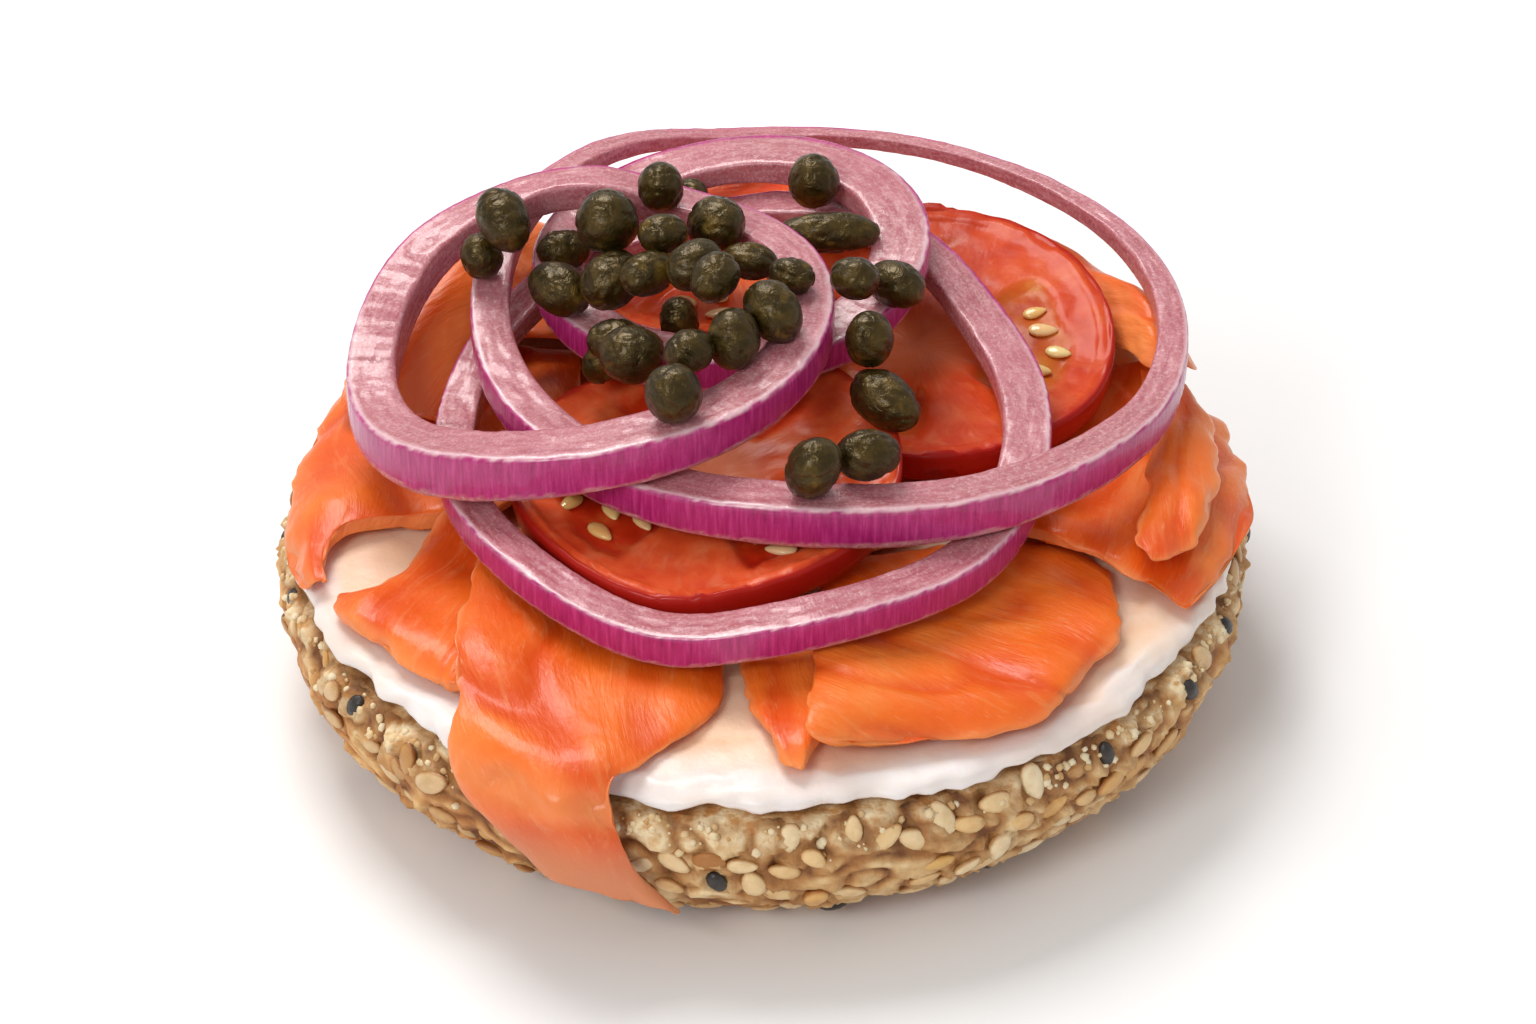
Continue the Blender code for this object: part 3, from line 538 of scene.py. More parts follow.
def crust_places(count, apart, sink, seed, sizes, tilt, low=0.0, high=0.78, clustered=-9.0):
    """Places on the side of the bagel for one kind of seed, no two closer than apart."""
    draw = np.random.default_rng(seed)
    places = []
    for _ in range(count * 14):
        if len(places) == count:
            break
        angle = draw.uniform(-math.pi, math.pi)
        down = draw.uniform(low, high)
        turn = draw.uniform(0, 2 * math.pi)
        size = draw.uniform(*sizes)
        lean = Vector(draw.uniform(-tilt, tilt, 3))
        slope = max(0.0, down * 1.5 - 0.12)
        flat = math.cos(slope)
        out = Vector((math.cos(angle) * flat, math.sin(angle) * flat, -math.sin(slope)))
        level = Vector((math.cos(angle), math.sin(angle), 0))
        middle = level * (plan_radius(angle) + SIDE_BULGE - UNDER_RADIUS)
        height = UNDER_RADIUS if slope > 0 else CUT_HEIGHT - 0.5 - 28 * down
        start = AXIS + middle + Vector((0, 0, height)) + out * (UNDER_RADIUS + 5)
        hit, normal, _, _ = crust_surface.ray_cast(start, -out, 12.0)
        if hit is None or hit.z < 1.7 or any((hit - place[4]).length < apart for place in places):
            continue
        if ripple(hit.x, hit.y, 1.3 * hit.z, 8.0, 30.0 + seed) < clustered:
            continue
        if fish_surface.find_nearest(hit + out * 0.6)[3] < 1.3:
            continue
        facing = (0.45 * normal + 0.55 * out + lean).normalized()
        places.append((hit + facing * sink, facing, turn, size, hit))
    return places


def kept_off(places, others, clear):
    """The places that stay clear of the others."""
    spots = [other[4] for other in others]
    return [place for place in places if all((place[4] - spot).length > clear for spot in spots)]


def bedded(places, length, width, rise=0.30):
    """Beds each seed in the crust: a brown seam at its edge and a low lip of dough outside."""
    for point, out, turn, size, _ in places:
        facing = out.to_track_quat("Z", "Y").to_matrix()
        to_seed = (facing @ Matrix.Rotation(turn, 3, "Z")).transposed()
        for _, index, _ in crust_points.find_range(point, length * size):
            vert = crust.verts[index]
            u, v, _ = to_seed @ (vert.co - point)
            reach = math.hypot(u / (0.5 * length * size), v / (0.5 * width * size))
            seam = math.exp(-(((reach - 1.08) / 0.20) ** 2))
            vert[seam_layer] = max(vert[seam_layer], seam)
            lip = math.exp(-(((reach - 1.45) / 0.28) ** 2))
            vert.co += out * (rise * lip - 0.20 * seam)


SESAME_SIZE = (4.0, 2.8)
black_places = crust_places(30, 9.0, 0.02, 5, (0.95, 1.25), 0.15)
sesame_places = crust_places(230, 3.0, 0.02, 11, (0.80, 1.12), 0.10, clustered=-0.02)
flake_places = crust_places(55, 4.8, -0.05, 23, (0.55, 1.10), 0.20)
sesame_places = kept_off(sesame_places, black_places, 3.0)
flake_places = kept_off(flake_places, black_places + sesame_places, 2.6)
crust.verts.ensure_lookup_table()
crust_points = KDTree(len(crust.verts))
for vert in crust.verts:
    crust_points.insert(vert.co, vert.index)
crust_points.balance()
bedded(sesame_places, *SESAME_SIZE)
bedded(black_places, 3.0, 2.1, 0.45)
for vert in crust.verts:
    vert.co.z = max(0.0, vert.co.z)
bagel = piece("bagel_half", crust, crust_material, "bagel_crust", "bagel")
print("sesame", len(sesame_places), "black", len(black_places), "flakes", len(flake_places))

# %% [markdown]
# ### Seed finishes
#
# Sesame is ivory on top with a golden edge where it sank into the dough, and browner on the sides of
# the bagel that baked darker. Black seeds are near black with a dull shine, and toasted flakes run
# from straw to amber. The attribute `tint` differs from seed to seed, so no two match.

# %% Seed finishes
sesame_finish = Finish("sesame", Roughness=0.42, Subsurface_Weight=0.15, Subsurface_Scale=0.001)
tint = sesame_finish.attribute("tint")
ivory_stops = ((0.0, (0.92, 0.77, 0.52)), (0.5, (0.88, 0.64, 0.34)), (1.0, (0.82, 0.46, 0.14)))
golden_stops = ((0.0, (0.66, 0.42, 0.18)), (0.5, (0.52, 0.27, 0.085)), (1.0, (0.38, 0.16, 0.04)))
ivory = sesame_finish.ramp(tint, *ivory_stops)
golden = sesame_finish.ramp(tint, *golden_stops)
sesame_colour = sesame_finish.mix(sesame_finish.attribute("bake"), ivory, golden)
proud = sesame_finish.attribute("proud")
edge = sesame_finish.ramp(proud, (0.12, (0.52, 0.33, 0.16)), (0.55, (1.0, 1.0, 1.0)))
sesame_colour = sesame_finish.mix(0.9, sesame_colour, edge, "MULTIPLY")
husk = sesame_finish.noise(600.0, 3.0)
mottle = sesame_finish.ramp(husk, (0.3, (0.76, 0.66, 0.52)), (0.6, (1.0, 1.0, 1.0)))
sesame_colour = sesame_finish.mix(0.7, sesame_colour, mottle, "MULTIPLY")
sesame_bump = sesame_finish.bump(sesame_finish.noise(1400.0, 2.0), 0.15, 0.7)
sesame_finish.use(Base_Color=sesame_colour, Normal=sesame_bump)
sesame_shape = scattered(seed_template(*SESAME_SIZE, 1.25, 0.35), sesame_places)
piece("sesame_seeds", sesame_shape, sesame_finish.material, "bagel_crust")

black_finish = Finish("black seed", Roughness=0.42)
dark = black_finish.noise(900.0, 3.0)
black_colour = black_finish.ramp(dark, (0.3, (0.010, 0.008, 0.008)), (0.75, (0.05, 0.038, 0.032)))
black_bump = black_finish.bump(black_finish.noise(1800.0, 2.0), 0.15, 0.8)
black_finish.use(Base_Color=black_colour, Normal=black_bump)
black_shape = scattered(seed_template(2.9, 2.0, 1.5, 0.25), black_places)
piece("black_seeds", black_shape, black_finish.material, "bagel_crust")

flake_finish = Finish("toasted flake", Roughness=0.45, Subsurface_Weight=0.15, Subsurface_Scale=0.0015)
flake_stops = ((0.0, (0.72, 0.42, 0.13)), (0.5, (0.58, 0.26, 0.06)), (1.0, (0.34, 0.12, 0.025)))
flake_colour = flake_finish.ramp(flake_finish.attribute("tint"), *flake_stops)
flake_bump = flake_finish.bump(flake_finish.noise(900.0, 3.0), 0.25, 0.8)
flake_finish.use(Base_Color=flake_colour, Normal=flake_bump)
flake_shape = scattered(seed_template(3.6, 2.8, 1.1, 0.1), flake_places)
piece("toasted_flakes", flake_shape, flake_finish.material, "bagel_crust")
print("seeds dressed")

# %% [markdown]
# ### Crumbs along the rim
#
# The knife tore the soft crumb where the bagel was split, so the edge under the cheese is ragged. Small
# rough crumbs of many sizes are scattered along it, joined in one mesh like the seeds.

# %% Crumbs along the rim
CRUMBS = 620
one_crumb = bmesh.new()
bmesh.ops.create_icosphere(one_crumb, subdivisions=1, radius=0.5)
for vert in one_crumb.verts:
    vert.co *= 1 + 0.45 * ripple(*(vert.co * 3), 0.7, 4.0)
one_crumb.verts.layers.float.new("proud")
crumb_template = bpy.data.meshes.new("crumb template")
one_crumb.to_mesh(crumb_template)
one_crumb.free()
draw = np.random.default_rng(41)
crumb_places = []
while len(crumb_places) < CRUMBS:
    angle = draw.uniform(-math.pi, math.pi)
    heading = Vector((math.cos(angle), math.sin(angle), 0))
    top = AXIS + heading * (plan_radius(angle) + draw.normal(0.1, 0.5)) + Vector((0, 0, CUT_HEIGHT + 3))
    hit, normal, _, _ = crust_surface.ray_cast(top, Vector((0, 0, -1)), 8.0)
    if hit is None or fish_surface.find_nearest(hit)[3] < 1.0:
        continue
    turn = draw.uniform(0, 6.3)
    size = draw.uniform(0.3, 1.1) ** 1.3
    crumb_places.append((hit + normal * 0.05, normal, turn, size, hit))
crumb_finish = Finish("bagel crumbs", Roughness=0.8, Subsurface_Weight=0.1, Subsurface_Scale=0.001)
crumb_stops = ((0.0, (0.88, 0.75, 0.53)), (0.6, (0.80, 0.60, 0.34)), (1.0, (0.58, 0.32, 0.11)))
crumb_colour = crumb_finish.ramp(crumb_finish.attribute("tint"), *crumb_stops)
crumb_bump = crumb_finish.bump(crumb_finish.noise(1500.0, 3.0), 0.2, 0.8)
crumb_finish.use(Base_Color=crumb_colour, Normal=crumb_bump)
piece("rim_crumbs", scattered(crumb_template, crumb_places), crumb_finish.material, "bagel_crust")
print("crumbs", len(crumb_places))

# %% [markdown]
# ## Cream cheese
#
# The cheese is spread with a knife: long shallow strokes run round the bagel, and the edge is left
# in soft uneven lobes. A smoothed copy of its solid gets stroke-shaped noise, finer across the stroke
# than along it.

# %% Cream cheese
cheese = smoothed(solid_copy("cream_cheese"), 3)
cool = cheese.verts.layers.float.new("cool")
for vert in cheese.verts:
    x, y, z = vert.co - AXIS
    radius = math.hypot(x, y)
    angle = math.atan2(y, x)
    stroke = ripple(radius * 1.1, angle * 9, z * 0.4, 2.4, 4.0)
    stroke += 0.5 * ripple(radius * 2.4, angle * 14, 0, 2.0, 9.0)
    ridge = 1 - 2 * abs(ripple(radius * 0.8 + 3 * ripple(x, y, 0, 14.0, 2.0), angle * 7, 0, 2.6, 15.0))
    lobe = ripple(x, y, z * 1.5, 6.0, 6.1) + 0.6 * ripple(x, y, z * 2, 2.4, 2.2)
    out = Vector((math.cos(angle), math.sin(angle), 0))
    top = step_between(18.4, 19.8, z)
    edge = step_between(43, 49, radius)
    vert[cool] = min(1.0, max(0.0, step_between(45, 51, radius) + 0.4 * stroke * top))
    vert.co += Vector((0, 0, (0.24 * stroke + 0.42 * max(0.0, ridge)) * top * (1 - 0.3 * edge)))
    vert.co += out * (0.25 + 1.25 * lobe) * edge
    vert.co += Vector((0, 0, -0.5 * max(0.0, lobe) * edge * (1 - top)))
cheese_finish = Finish(
    "cream cheese",
    Roughness=0.40,
    Subsurface_Weight=0.35,
    Subsurface_Scale=0.003,
    Coat_Weight=0.08,
    Coat_Roughness=0.25,
)
cheese_finish.shader.inputs["Subsurface Radius"].default_value = (1.0, 0.75, 0.55)
curd = cheese_finish.noise(90.0, 3.0)
warm = cheese_finish.ramp(curd, (0.35, (0.88, 0.55, 0.34)), (0.65, (0.95, 0.70, 0.50)))
white = cheese_finish.ramp(curd, (0.35, (0.84, 0.70, 0.63)), (0.65, (0.89, 0.82, 0.80)))
cheese_colour = cheese_finish.mix(cheese_finish.attribute("cool"), warm, white)
cheese_grain = cheese_finish.bump(cheese_finish.noise(450.0, 4.0, 0.6), 0.22, 0.6)
cheese_material = cheese_finish.use(Base_Color=cheese_colour, Normal=cheese_grain)
piece("spread_cheese", cheese, cheese_material, "cream_cheese", "cream_cheese")
print("cream cheese done")

# %% [markdown]
# ## Smoked salmon
#
# Each slice is a thin wet sheet with pale lines of fat between flakes of muscle, and its edge is torn.
# The slices are smoothed copies of their solids. The fibres run along one direction a slice, given as
# an angle, and stored on each vertex as the vector `grain` in millimetres along and across the fibres,
# so that one material serves all the slices. `fold` is high in a crease and in the hollows between
# swellings, where the finish paints shade, `hang` where the slice hangs down the side, and `thin` at
# its torn edge.

# %% Smoked salmon
SALMON_GRAIN = {
    "salmon_middle": 20,
    "salmon_left": 100,
    "salmon_back": 10,
    "salmon_heap": 60,
    "salmon_lobe": -120,
    "salmon_point": -85,
    "salmon_front": -35,
    "salmon_right": 70,
    "salmon_fold": 95,
    "salmon_mound": -40,
    "salmon_drape": -80,
}


def salmon_slice(name, heading):
    """A refined slice with its grain, soft folds and torn edge."""
    shape = smoothed(solid_copy(name), 3)
    grain_layer = shape.verts.layers.float_vector.new("grain")
    crease_shade_layer = shape.verts.layers.float.new("fold")
    hang_layer = shape.verts.layers.float.new("hang")
    thin_layer = shape.verts.layers.float.new("thin")
    seed = heading * 0.13 + len(name)
    along = Vector((math.cos(math.radians(heading)), math.sin(math.radians(heading)), 0))
    across = Vector((-along.y, along.x, 0))
    shape.normal_update()
    for vert in shape.verts:
        x, y, z = vert.co
        run = vert.co.dot(along) - 0.8 * z
        side = vert.co.dot(across) + 2.4 * ripple(x, y, z, 14.0, seed) + 0.5 * z
        vert[grain_layer] = (run, side, z)
        flake = ripple(run * 0.22, side, 0.5 * z, 2.2, seed)
        flake += 0.5 * ripple(run * 0.5, side * 1.2, z, 1.1, seed + 3)
        swell = ripple(run * 0.55, side, z, 5.5, seed + 7)
        crease = max(0.0, 1 - 4.5 * abs(ripple(run * 0.35, side, 0.4 * z, 8.0, seed + 9)))
        # `fold` is high in creases and in hollows between swellings, where the finish paints shade.
        vert[crease_shade_layer] = min(1.0, max(0.0, 0.5 - 0.7 * swell + 0.45 * crease))
        vert[hang_layer] = 1 - step_between(11.0, 18.5, z)
        flat = vert.normal.copy()
        flat.z = 0
        sideways = step_between(0.35, 0.9, flat.length) * step_between(16.0, 19.0, z)
        torn = ripple(x, y, z, 4.0, seed + 1) + 0.3 * ripple(x, y, z, 1.5, seed + 2)
        vert[thin_layer] = sideways
        vert.co += vert.normal * (0.06 * flake + 0.42 * swell - 0.34 * crease)
        vert.co += flat * 1.0 * torn * sideways
    return shape


fish = Finish(
    "smoked salmon",
    Roughness=0.36,
    Subsurface_Weight=0.15,
    Subsurface_Scale=0.003,
    Coat_Weight=0.16,
    Coat_Roughness=0.16,
)
fish.shader.inputs["Specular IOR Level"].default_value = 0.25
fish.shader.inputs["Subsurface Radius"].default_value = (1.0, 0.30, 0.12)
lie = fish.attribute("grain", "Vector")
fibre = fish.noise(1.0, 3.0, 0.6, 0.6, at=fish.stretched(lie, (0.16, 0.70, 0.3)))
strand = fish.noise(1.0, 3.0, 0.6, 0.3, at=fish.stretched(lie, (0.45, 2.4, 0.8)))
cloudy = fish.noise(75.0, 4.0, 0.55)
flesh_stops = ((0.30, (0.78, 0.105, 0.006)), (0.50, (0.86, 0.155, 0.012)), (0.72, (0.90, 0.245, 0.045)))
flesh = fish.ramp(cloudy, *flesh_stops)
# Painted shade: the flesh turns a darker red where `fold` marks a crease or hollow.
crease_shade = fish.ramp(fish.attribute("fold"), (0.45, 0.0), (0.95, 0.75))
flesh = fish.mix(crease_shade, flesh, (0.70, 0.065, 0.004))
pale = fish.ramp(fibre, (0.54, 0.0), (0.78, 0.30))
flesh = fish.mix(pale, flesh, (0.90, 0.40, 0.15))
threads = fish.ramp(strand, (0.62, 0.0), (0.80, 0.28))
flesh = fish.mix(threads, flesh, (0.93, 0.55, 0.30))
flesh = fish.mix(fish.sums("MULTIPLY", fish.attribute("thin"), 0.45), flesh, (0.92, 0.36, 0.13))
# Where the slice hangs down the side, its colour turns paler and duller.
hanging_side_share = fish.sums("MULTIPLY", fish.attribute("hang"), 0.85)
flesh = fish.mix(hanging_side_share, flesh, (0.60, 0.235, 0.115))
fish_bump = fish.bump(strand, 0.14, 0.5)
fish_bump = fish.bump(fibre, 0.30, 0.5, fish_bump)
fish_bump = fish.bump(fish.noise(190.0, 3.0, 0.6), 0.30, 0.6, fish_bump)
fish_bump = fish.bump(fish.noise(420.0, 3.0, 0.6), 0.22, 0.5, fish_bump)
salmon_material = fish.use(Base_Color=flesh, Normal=fish_bump)
for name, heading in SALMON_GRAIN.items():
    piece(f"{name}_slice", salmon_slice(name, heading), salmon_material, "smoked_salmon", name)
print("slices of salmon", len(SALMON_GRAIN))

# %% [markdown]
# ## Tomato slices
#
# A slice shows its thin red skin, the firm outer wall, pockets of gel with seeds, and pale spokes that
# run in to the core. The slice is spun from a fine section and laid on the bend of its solid. Where a
# pocket lies, the top sinks and turns to gel. The attributes `gel`, `skin` and `core` steer the finish.

# %% Tomato slices
TOMATO_THICKNESS = 3.6


def tomato_section():
    """Shares of the radius and of the thickness, from the top's middle round to the bottom's."""
    section = [(share, 1.0) for share in np.linspace(0.0, 0.955, 44)]
    section += [(0.975, 0.985), (0.99, 0.93), (1.0, 0.8), (1.0, 0.6)]
    section += [(0.998, 0.4), (0.992, 0.2), (0.98, 0.06)]
    section += [(share, 0.0) for share in np.linspace(0.94, 0.0, 10)]
    return section


def underside(node):
    """Height of the underside of a node at a plan point, evened out over a few millimetres."""
    shape = solid_copy(node)
    surface = BVHTree.FromBMesh(shape)
    shape.free()
    low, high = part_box(node)
    middle = (low + high) / 2 / MM

    def height(x, y):
        found = []
        for dx, dy in ((0, 0), (1.3, 0), (-1.3, 0), (0, 1.3), (0, -1.3)):
            for pull in (1.0, 0.93, 0.85, 0.7):
                px = middle.x + (x + dx - middle.x) * pull
                py = middle.y + (y + dy - middle.y) * pull
                hit, _, _, _ = surface.ray_cast(Vector((px, py, 0)), Vector((0, 0, 1)), 90.0)
                if hit is not None:
                    found.append(hit.z)
                    break
        return sum(found) / len(found)

    return height


def tomato_slice(name, locules, turn):
    """One slice, with the places of its pockets for the seeds."""
    middle, at = around(name)
    height_at = underside(name)
    shape, _ = turned([(share * 10 + 0.02, rise) for share, rise in tomato_section()], 200)
    gel = shape.verts.layers.float.new("gel")
    skin_layer = shape.verts.layers.float.new("skin")
    core = shape.verts.layers.float.new("core")
    spoke = shape.verts.layers.float_vector.new("grain")
    for vert in shape.verts:
        share = (math.hypot(vert.co.x, vert.co.y) - 0.02) / 10
        rise = vert.co.z
        angle = math.atan2(vert.co.y, vert.co.x)
        outer = at(angle)[0]
        x = middle.x + share * outer * math.cos(angle)
        y = middle.y + share * outer * math.sin(angle)
        warp = 0.07 * ripple(x, y, 0, 5.0, turn) + 0.03 * ripple(x, y, 0, 2.0, turn)
        wave = math.cos(locules * angle + turn + 0.6 * ripple(x, y, 0, 9.0, turn + 4))
        ring_part = step_between(0.34, 0.44, share + warp) * (1 - step_between(0.74, 0.82, share + warp))
        pocket = ring_part * step_between(-0.45, -0.10, wave)
        on_top = step_between(0.5, 0.95, rise)
        vert[gel] = pocket * on_top
        vert[skin_layer] = step_between(0.955, 0.99, share)
        vert[core] = (1 - step_between(0.10, 0.42, share + warp)) * on_top
        vert[spoke] = (share * outer, angle * 8.0, rise)
        z = height_at(x, y) + rise * TOMATO_THICKNESS
        bulge = 0.5 + 0.5 * ripple(x, y, 0, 2.6, turn + 2)
        z += on_top * (-0.75 * pocket + 0.35 * pocket * bulge + 0.10 * ripple(x, y, 0, 2.2, turn + 8))
        if rise > 0.98 and share > 0.82:
            z += 0.12 * ripple(x, y, 0, 1.6, turn)
        vert.co = (x, y, z)
    return shape


def tomato_finish(name, wall_stops, gel_stops, heart, skin_colour):
    """The finish of one slice: wall, gel in the pockets, pale heart and red skin."""
    finish = Finish(
        name,
        Roughness=0.30,
        Subsurface_Weight=0.15,
        Subsurface_Scale=0.003,
        Coat_Weight=0.05,
        Coat_Roughness=0.05,
    )
    finish.shader.inputs["Specular IOR Level"].default_value = 0.18
    finish.shader.inputs["Subsurface Radius"].default_value = (1.0, 0.25, 0.10)
    lie = finish.stretched(finish.attribute("grain", "Vector"), (0.25, 0.9, 1.0))
    rays = finish.noise(1.0, 3.0, 0.6, 0.4, at=lie)
    clouds = finish.noise(170.0, 4.0, 0.6, 0.3)
    wall = finish.ramp(clouds, *zip((0.30, 0.54, 0.76), wall_stops))
    wall = finish.mix(finish.ramp(rays, (0.52, 0.0), (0.78, 0.50)), wall, heart)
    gel_colour = finish.ramp(clouds, *zip((0.30, 0.56, 0.80), gel_stops))
    colour = finish.mix(finish.sums("MULTIPLY", finish.attribute("core"), 0.8), wall, heart)
    colour = finish.mix(finish.attribute("gel"), colour, gel_colour)
    colour = finish.mix(finish.attribute("skin"), colour, skin_colour)
    surface = finish.bump(clouds, 0.25, 0.5)
    surface = finish.bump(rays, 0.2, 0.5, surface)
    return finish.use(Base_Color=colour, Normal=surface)


SKIN_RED = (0.42, 0.012, 0.006)
TOMATOES = {"tomato_right": (3, 0.4), "tomato_front": (3, 2.0), "tomato_back": (4, 1.1)}
TOMATO_COLOURS = {
    "tomato_right": (
        ((0.50, 0.030, 0.004), (0.62, 0.060, 0.009), (0.70, 0.12, 0.025)),
        ((0.42, 0.02, 0.004), (0.56, 0.12, 0.010), (0.62, 0.33, 0.04)),
        (0.70, 0.17, 0.06),
    ),
    "tomato_front": (
        ((0.60, 0.040, 0.010), (0.74, 0.100, 0.024), (0.82, 0.19, 0.065)),
        ((0.42, 0.010, 0.003), (0.56, 0.035, 0.006), (0.66, 0.14, 0.025)),
        (0.76, 0.24, 0.11),
    ),
    "tomato_back": (
        ((0.70, 0.045, 0.010), (0.80, 0.10, 0.020), (0.84, 0.18, 0.05)),
        ((0.62, 0.025, 0.005), (0.76, 0.08, 0.012), (0.80, 0.20, 0.03)),
        (0.84, 0.26, 0.09),
    ),
}
for name, (locules, turn) in TOMATOES.items():
    walls, gels, heart = TOMATO_COLOURS[name]
    slice_material = tomato_finish(name.replace("_", " "), walls, gels, heart, SKIN_RED)
    piece(f"{name}_slice", tomato_slice(name, locules, turn), slice_material, "tomato", name)
print("tomato slices", len(TOMATOES))

# %% [markdown]
# ### Tomato seeds
#
# The seeds lie in the gel of each pocket, pale gold and point inwards. They are scattered with the
# same helper as the sesame, on rays dropped onto the finished slices.

# %% Tomato seeds
def pocket_places(name, locules, turn, count, seed):
    """Places for seeds inside the pockets of one slice."""
    draw = np.random.default_rng(seed)
    middle, at = around(name)
    surface = BVHTree.FromObject(bpy.data.objects[f"{name}_slice"], bpy.context.evaluated_depsgraph_get())
    places = []
    for _ in range(count * 20):
        if len(places) == count:
            break
        angle = draw.uniform(-math.pi, math.pi)
        share = draw.uniform(0.47, 0.74)
        if math.cos(locules * angle + turn) < 0.15:
            continue
        reach = share * at(angle)[0]
        point = Vector((middle.x + reach * math.cos(angle), middle.y + reach * math.sin(angle), 70))
        hit, normal, _, _ = surface.ray_cast(point * MM, Vector((0, 0, -1)))
        if hit is None or any((hit / MM - place[0]).length < 2.4 for place in places):
            continue
        lie_along = angle + draw.uniform(-0.6, 0.6)
        places.append((hit / MM + normal * 0.25, normal, lie_along, draw.uniform(0.85, 1.1), hit / MM))
    return places


pip_finish = Finish(
    "tomato seed",
    Roughness=0.2,
    Subsurface_Weight=0.4,
    Subsurface_Scale=0.002,
    Coat_Weight=0.5,
    Coat_Roughness=0.06,
)
pip_stops = ((0.0, (0.86, 0.62, 0.26)), (0.5, (0.80, 0.45, 0.12)), (1.0, (0.86, 0.55, 0.30)))
pip_colour = pip_finish.ramp(pip_finish.attribute("tint"), *pip_stops)
pip_finish.use(Base_Color=pip_colour, Normal=pip_finish.bump(pip_finish.noise(1100.0, 3.0), 0.15, 0.6))
pip_places = []
for k, (name, (locules, turn)) in enumerate(TOMATOES.items()):
    pip_places += pocket_places(name, locules, turn, 16, 31 + k)
pip_shape = scattered(seed_template(3.2, 2.2, 1.0, 0.5, 12, 8), pip_places)
piece("tomato_seeds", pip_shape, pip_finish.material, "tomato")
print("tomato seeds", len(pip_places))

# %% [markdown]
# ## Red onion rings
#
# A ring is a slice of one onion scale: two cut faces, frosted pink with fine fibres, an outer skin
# side in magenta with upright veins, and a pale inner side. The section is spun finely and set on the
# measured ring, so it keeps the solid's bend. A ragged band of skin colour is stored as `skin`.

# %% Red onion rings
def ring_section():
    """Pairs of (share of the width in from the skin, share of the half height) round one ring."""
    outside = [(0.010 + 0.02 * rise**2, rise) for rise in np.linspace(-0.82, 0.82, 14)]
    top = [(0.05, 0.93), (0.085, 0.985)] + [(share, 1.0) for share in np.linspace(0.13, 0.87, 13)]
    top += [(0.925, 0.98), (0.965, 0.92)]
    inside = [(0.985 + 0.012 * (1 - rise**2), rise) for rise in np.linspace(0.8, -0.8, 9)]
    bottom = [(0.965, -0.92), (0.92, -0.985)] + [(share, -1.0) for share in np.linspace(0.85, 0.14, 6)]
    bottom += [(0.085, -0.985), (0.05, -0.93)]
    return outside + top + inside + bottom


def onion_ring(name, seed):
    """A fine ring on the bend of its solid, with its grain and skin."""
    middle, at = around(name)
    section = ring_section()
    shape, number = turned([(20 - share * 4, rise) for share, rise in section], 400)
    skin_layer = shape.verts.layers.float.new("skin")
    edge_layer = shape.verts.layers.float.new("edge")
    grain_layer = shape.verts.layers.float_vector.new("grain")
    for vert in shape.verts:
        share, rise = section[vert[number]]
        angle = math.atan2(vert.co.y, vert.co.x)
        outer, inner, high, low = at(angle)
        radius = outer - share * (outer - inner)
        run = angle * (outer + inner) / 2
        veins = ripple(run, 0.15 * rise, 0, 0.55, seed) + 0.6 * ripple(run, rise, 0, 1.4, seed)
        x, y = radius * math.cos(angle), radius * math.sin(angle)
        fuzz = ripple(x, y, rise, 1.1, seed) + 0.5 * ripple(x, y, rise, 0.55, seed)
        radius += 0.05 * veins * (1 - share) * (1 if abs(rise) < 0.9 else 0.3)
        half = (high - low) / 2
        z = (high + low) / 2 + rise * half
        cut = step_between(0.85, 1.0, abs(rise)) * (1 if rise > 0 else -1)
        groove = ripple(run * 0.3, share * 5, 0, 0.9, seed + 8)
        z += (0.06 * fuzz + 0.14 * ripple(x, y, 0, 4.0, seed) + 0.10 * groove) * cut
        behind = max(0.0, math.sin(angle))
        ragged = 0.88 + 0.12 * ripple(run, 0, 0, 0.9, seed + 2) + 0.08 * ripple(run, 0, 0, 3.0, seed + 5)
        ragged += 0.25 * behind
        frayed = -0.66 + 0.16 * ripple(run, 0, 0, 1.2, seed + 6) + 0.12 * ripple(run, 0, 0, 5.0, seed + 1)
        on_side = 1 - step_between(0.06 + 0.06 * behind, 0.10 + 0.10 * behind, share)
        below_face = 1 - step_between(ragged, ragged + 0.12, rise)
        above_foot = step_between(frayed - 0.1, frayed, rise)
        vert[skin_layer] = on_side * below_face * above_foot
        vert[edge_layer] = (1 - step_between(0.08, 0.17, share)) * step_between(0.70, 0.92, rise)
        vert[grain_layer] = (run, share * (outer - inner), rise * half)
        vert.co = (middle.x + radius * math.cos(angle), middle.y + radius * math.sin(angle), z)
    return shape


onion = Finish(
    "red onion",
    Roughness=0.26,
    Subsurface_Weight=0.22,
    Subsurface_Scale=0.003,
    Coat_Weight=0.30,
    Coat_Roughness=0.08,
)
onion.shader.inputs["Subsurface Radius"].default_value = (1.0, 0.45, 0.6)
lie = onion.attribute("grain", "Vector")
veins = onion.noise(1.0, 3.0, 0.6, 0.2, at=onion.stretched(lie, (2.2, 0.3, 0.22)))
frost = onion.noise(1.0, 4.0, 0.7, 0.5, at=onion.stretched(lie, (2.4, 2.4, 2.4)))
blush = onion.noise(70.0, 2.0)
rows = onion.noise(1.0, 4.0, 0.6, 0.4, at=onion.stretched(lie, (0.30, 1.5, 1.5)))
face_stops = ((0.30, (0.38, 0.090, 0.110)), (0.50, (0.49, 0.165, 0.185)), (0.72, (0.61, 0.28, 0.30)))
skin_stops = ((0.28, (0.30, 0.008, 0.105)), (0.50, (0.44, 0.018, 0.170)), (0.76, (0.60, 0.060, 0.28)))
face = onion.ramp(rows, *face_stops)
face = onion.mix(onion.ramp(frost, (0.48, 0.0), (0.70, 0.60)), face, (0.80, 0.54, 0.56))
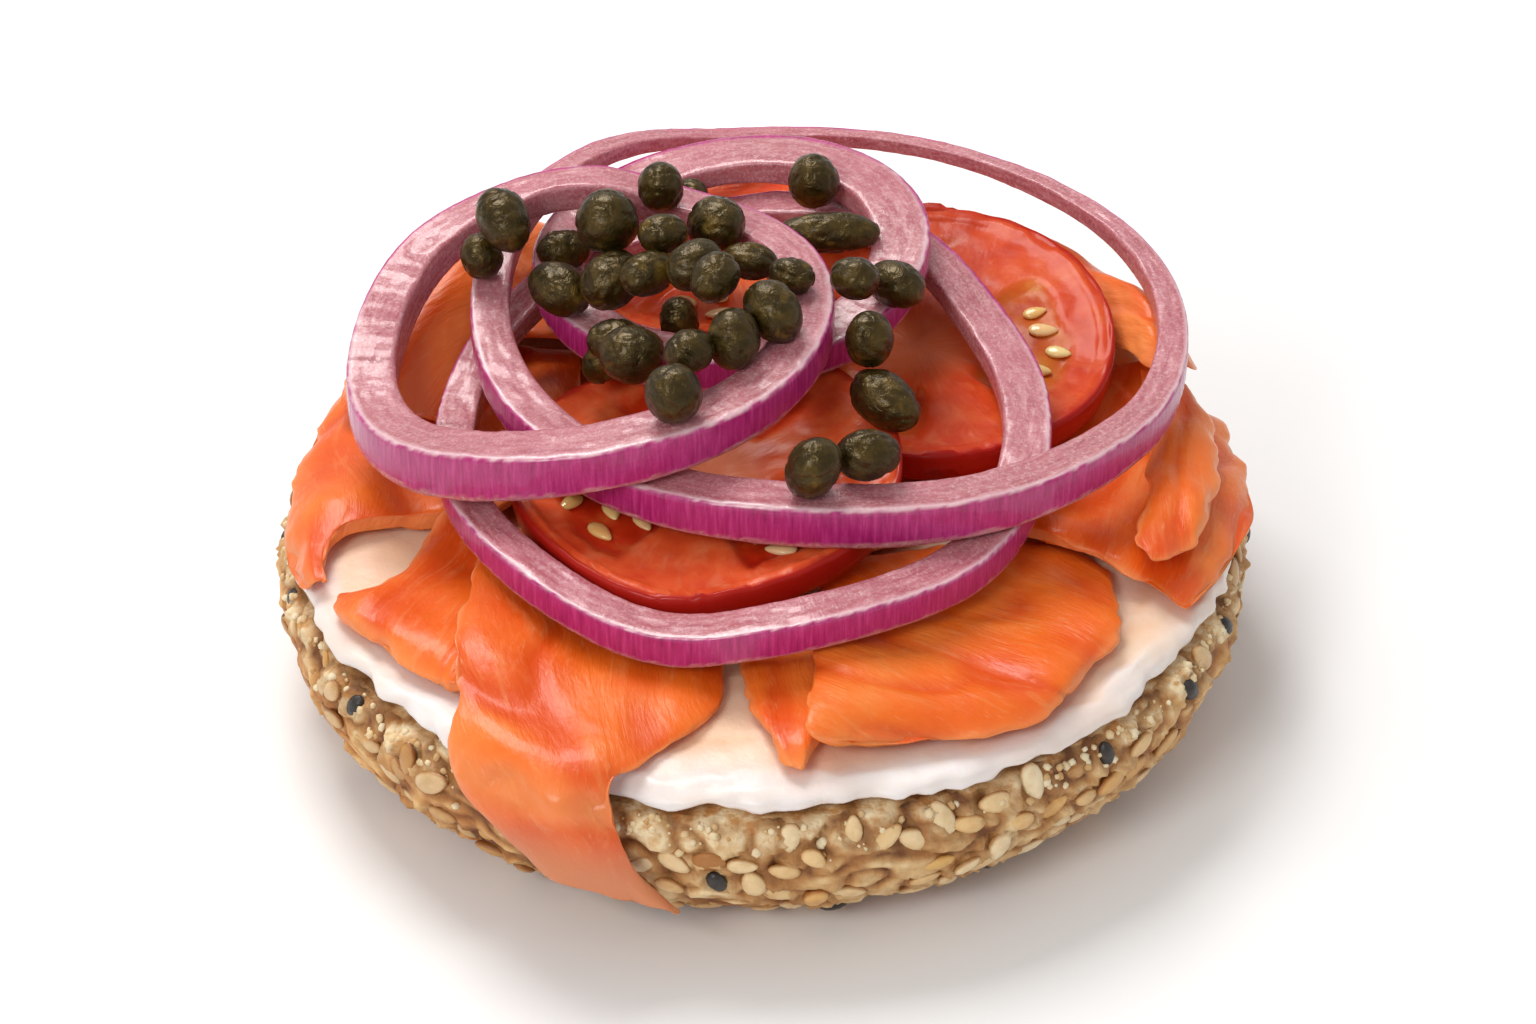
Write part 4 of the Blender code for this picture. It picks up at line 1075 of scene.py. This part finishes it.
face = onion.mix(onion.ramp(blush, (0.35, 0.0), (0.7, 0.35)), face, (0.54, 0.14, 0.20))
face = onion.mix(onion.sums("MULTIPLY", onion.attribute("edge"), 0.6), face, (0.90, 0.68, 0.72))
purple = onion.ramp(veins, *skin_stops)
onion_colour = onion.mix(onion.attribute("skin"), face, purple)
onion_bump = onion.bump(veins, 0.10, 0.5)
onion_bump = onion.bump(frost, 0.10, 0.5, onion_bump)
onion_bump = onion.bump(onion.noise(160.0, 2.0), 0.35, 0.6, onion_bump)
onion_material = onion.use(Base_Color=onion_colour, Normal=onion_bump)
RINGS = ("onion_ring_front", "onion_ring_middle", "onion_ring_large", "onion_ring_left")
for k, name in enumerate(RINGS):
    piece(f"{name}_slice", onion_ring(name, 3.0 + 2.7 * k), onion_material, "red_onion", name)
print("onion rings", len(RINGS))

# %% [markdown]
# ## Capers
#
# A caper is a pickled flower bud: dark olive, glossy from the brine, dented and finely wrinkled, with
# the faint seams of its petals; golden glints are painted into its colour. Each one is a smoothed copy
# of its own solid, swollen because smoothing shrinks it and so that neighbours touch, then dented by
# noise.

# %% Capers
CAPER_SWELL = 1.13
capers = sorted(name for name in frame["nodes"] if name.startswith("caper_"))


def caper_bud(name, seed):
    """A refined caper with dents and wrinkles."""
    shape = smoothed(solid_copy(name), 3)
    low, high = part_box(name)
    middle = (low + high) / 2 / MM
    for vert in shape.verts:
        from_middle = (vert.co - middle) * CAPER_SWELL
        x, y, z = from_middle
        dent = ripple(x, y, z, 2.6, seed) + 0.4 * ripple(x, y, z, 1.2, seed + 3)
        seam = abs(ripple(x * 0.6, y * 1.2, z * 0.6, 1.7, seed + 5))
        pucker = 0.16 * dent - 0.22 * (1 - step_between(0.0, 0.16, seam))
        vert.co = middle + from_middle * (1 + pucker / max(1.0, from_middle.length) * 0.8)
    return shape


bud = Finish("caper", Roughness=0.30, Coat_Weight=0.10, Coat_Roughness=0.06)
bud.shader.inputs["Specular Tint"].default_value = (1.0, 0.72, 0.34, 1.0)
spots = bud.noise(420.0, 4.0, 0.65, 0.5)
olive_stops = ((0.30, (0.009, 0.005, 0.001)), (0.50, (0.026, 0.016, 0.003)), (0.70, (0.070, 0.042, 0.008)))
olive = bud.ramp(spots, *olive_stops)
# Painted highlight: small golden glints painted into the olive colour.
painted_golden_glints = bud.ramp(bud.noise(260.0, 3.0, 0.6, 1.0), (0.60, 0.0), (0.74, 0.60))
olive = bud.mix(painted_golden_glints, olive, (0.20, 0.120, 0.020))
wrinkle = bud.noise(900.0, 3.0, 0.6, 1.2)
bud_bump = bud.bump(wrinkle, 0.30, 0.7)
bud_bump = bud.bump(spots, 0.30, 0.5, bud_bump)
caper_material = bud.use(Base_Color=olive, Normal=bud_bump)
for k, name in enumerate(capers):
    piece(f"{name}_bud", caper_bud(name, 1.7 * k), caper_material, "caper", name)
print("capers", len(capers))

# %% [markdown]
# ## Last update
#
# The view layer is brought up to date once every piece is made.

# %% Last update
bpy.context.view_layer.update()
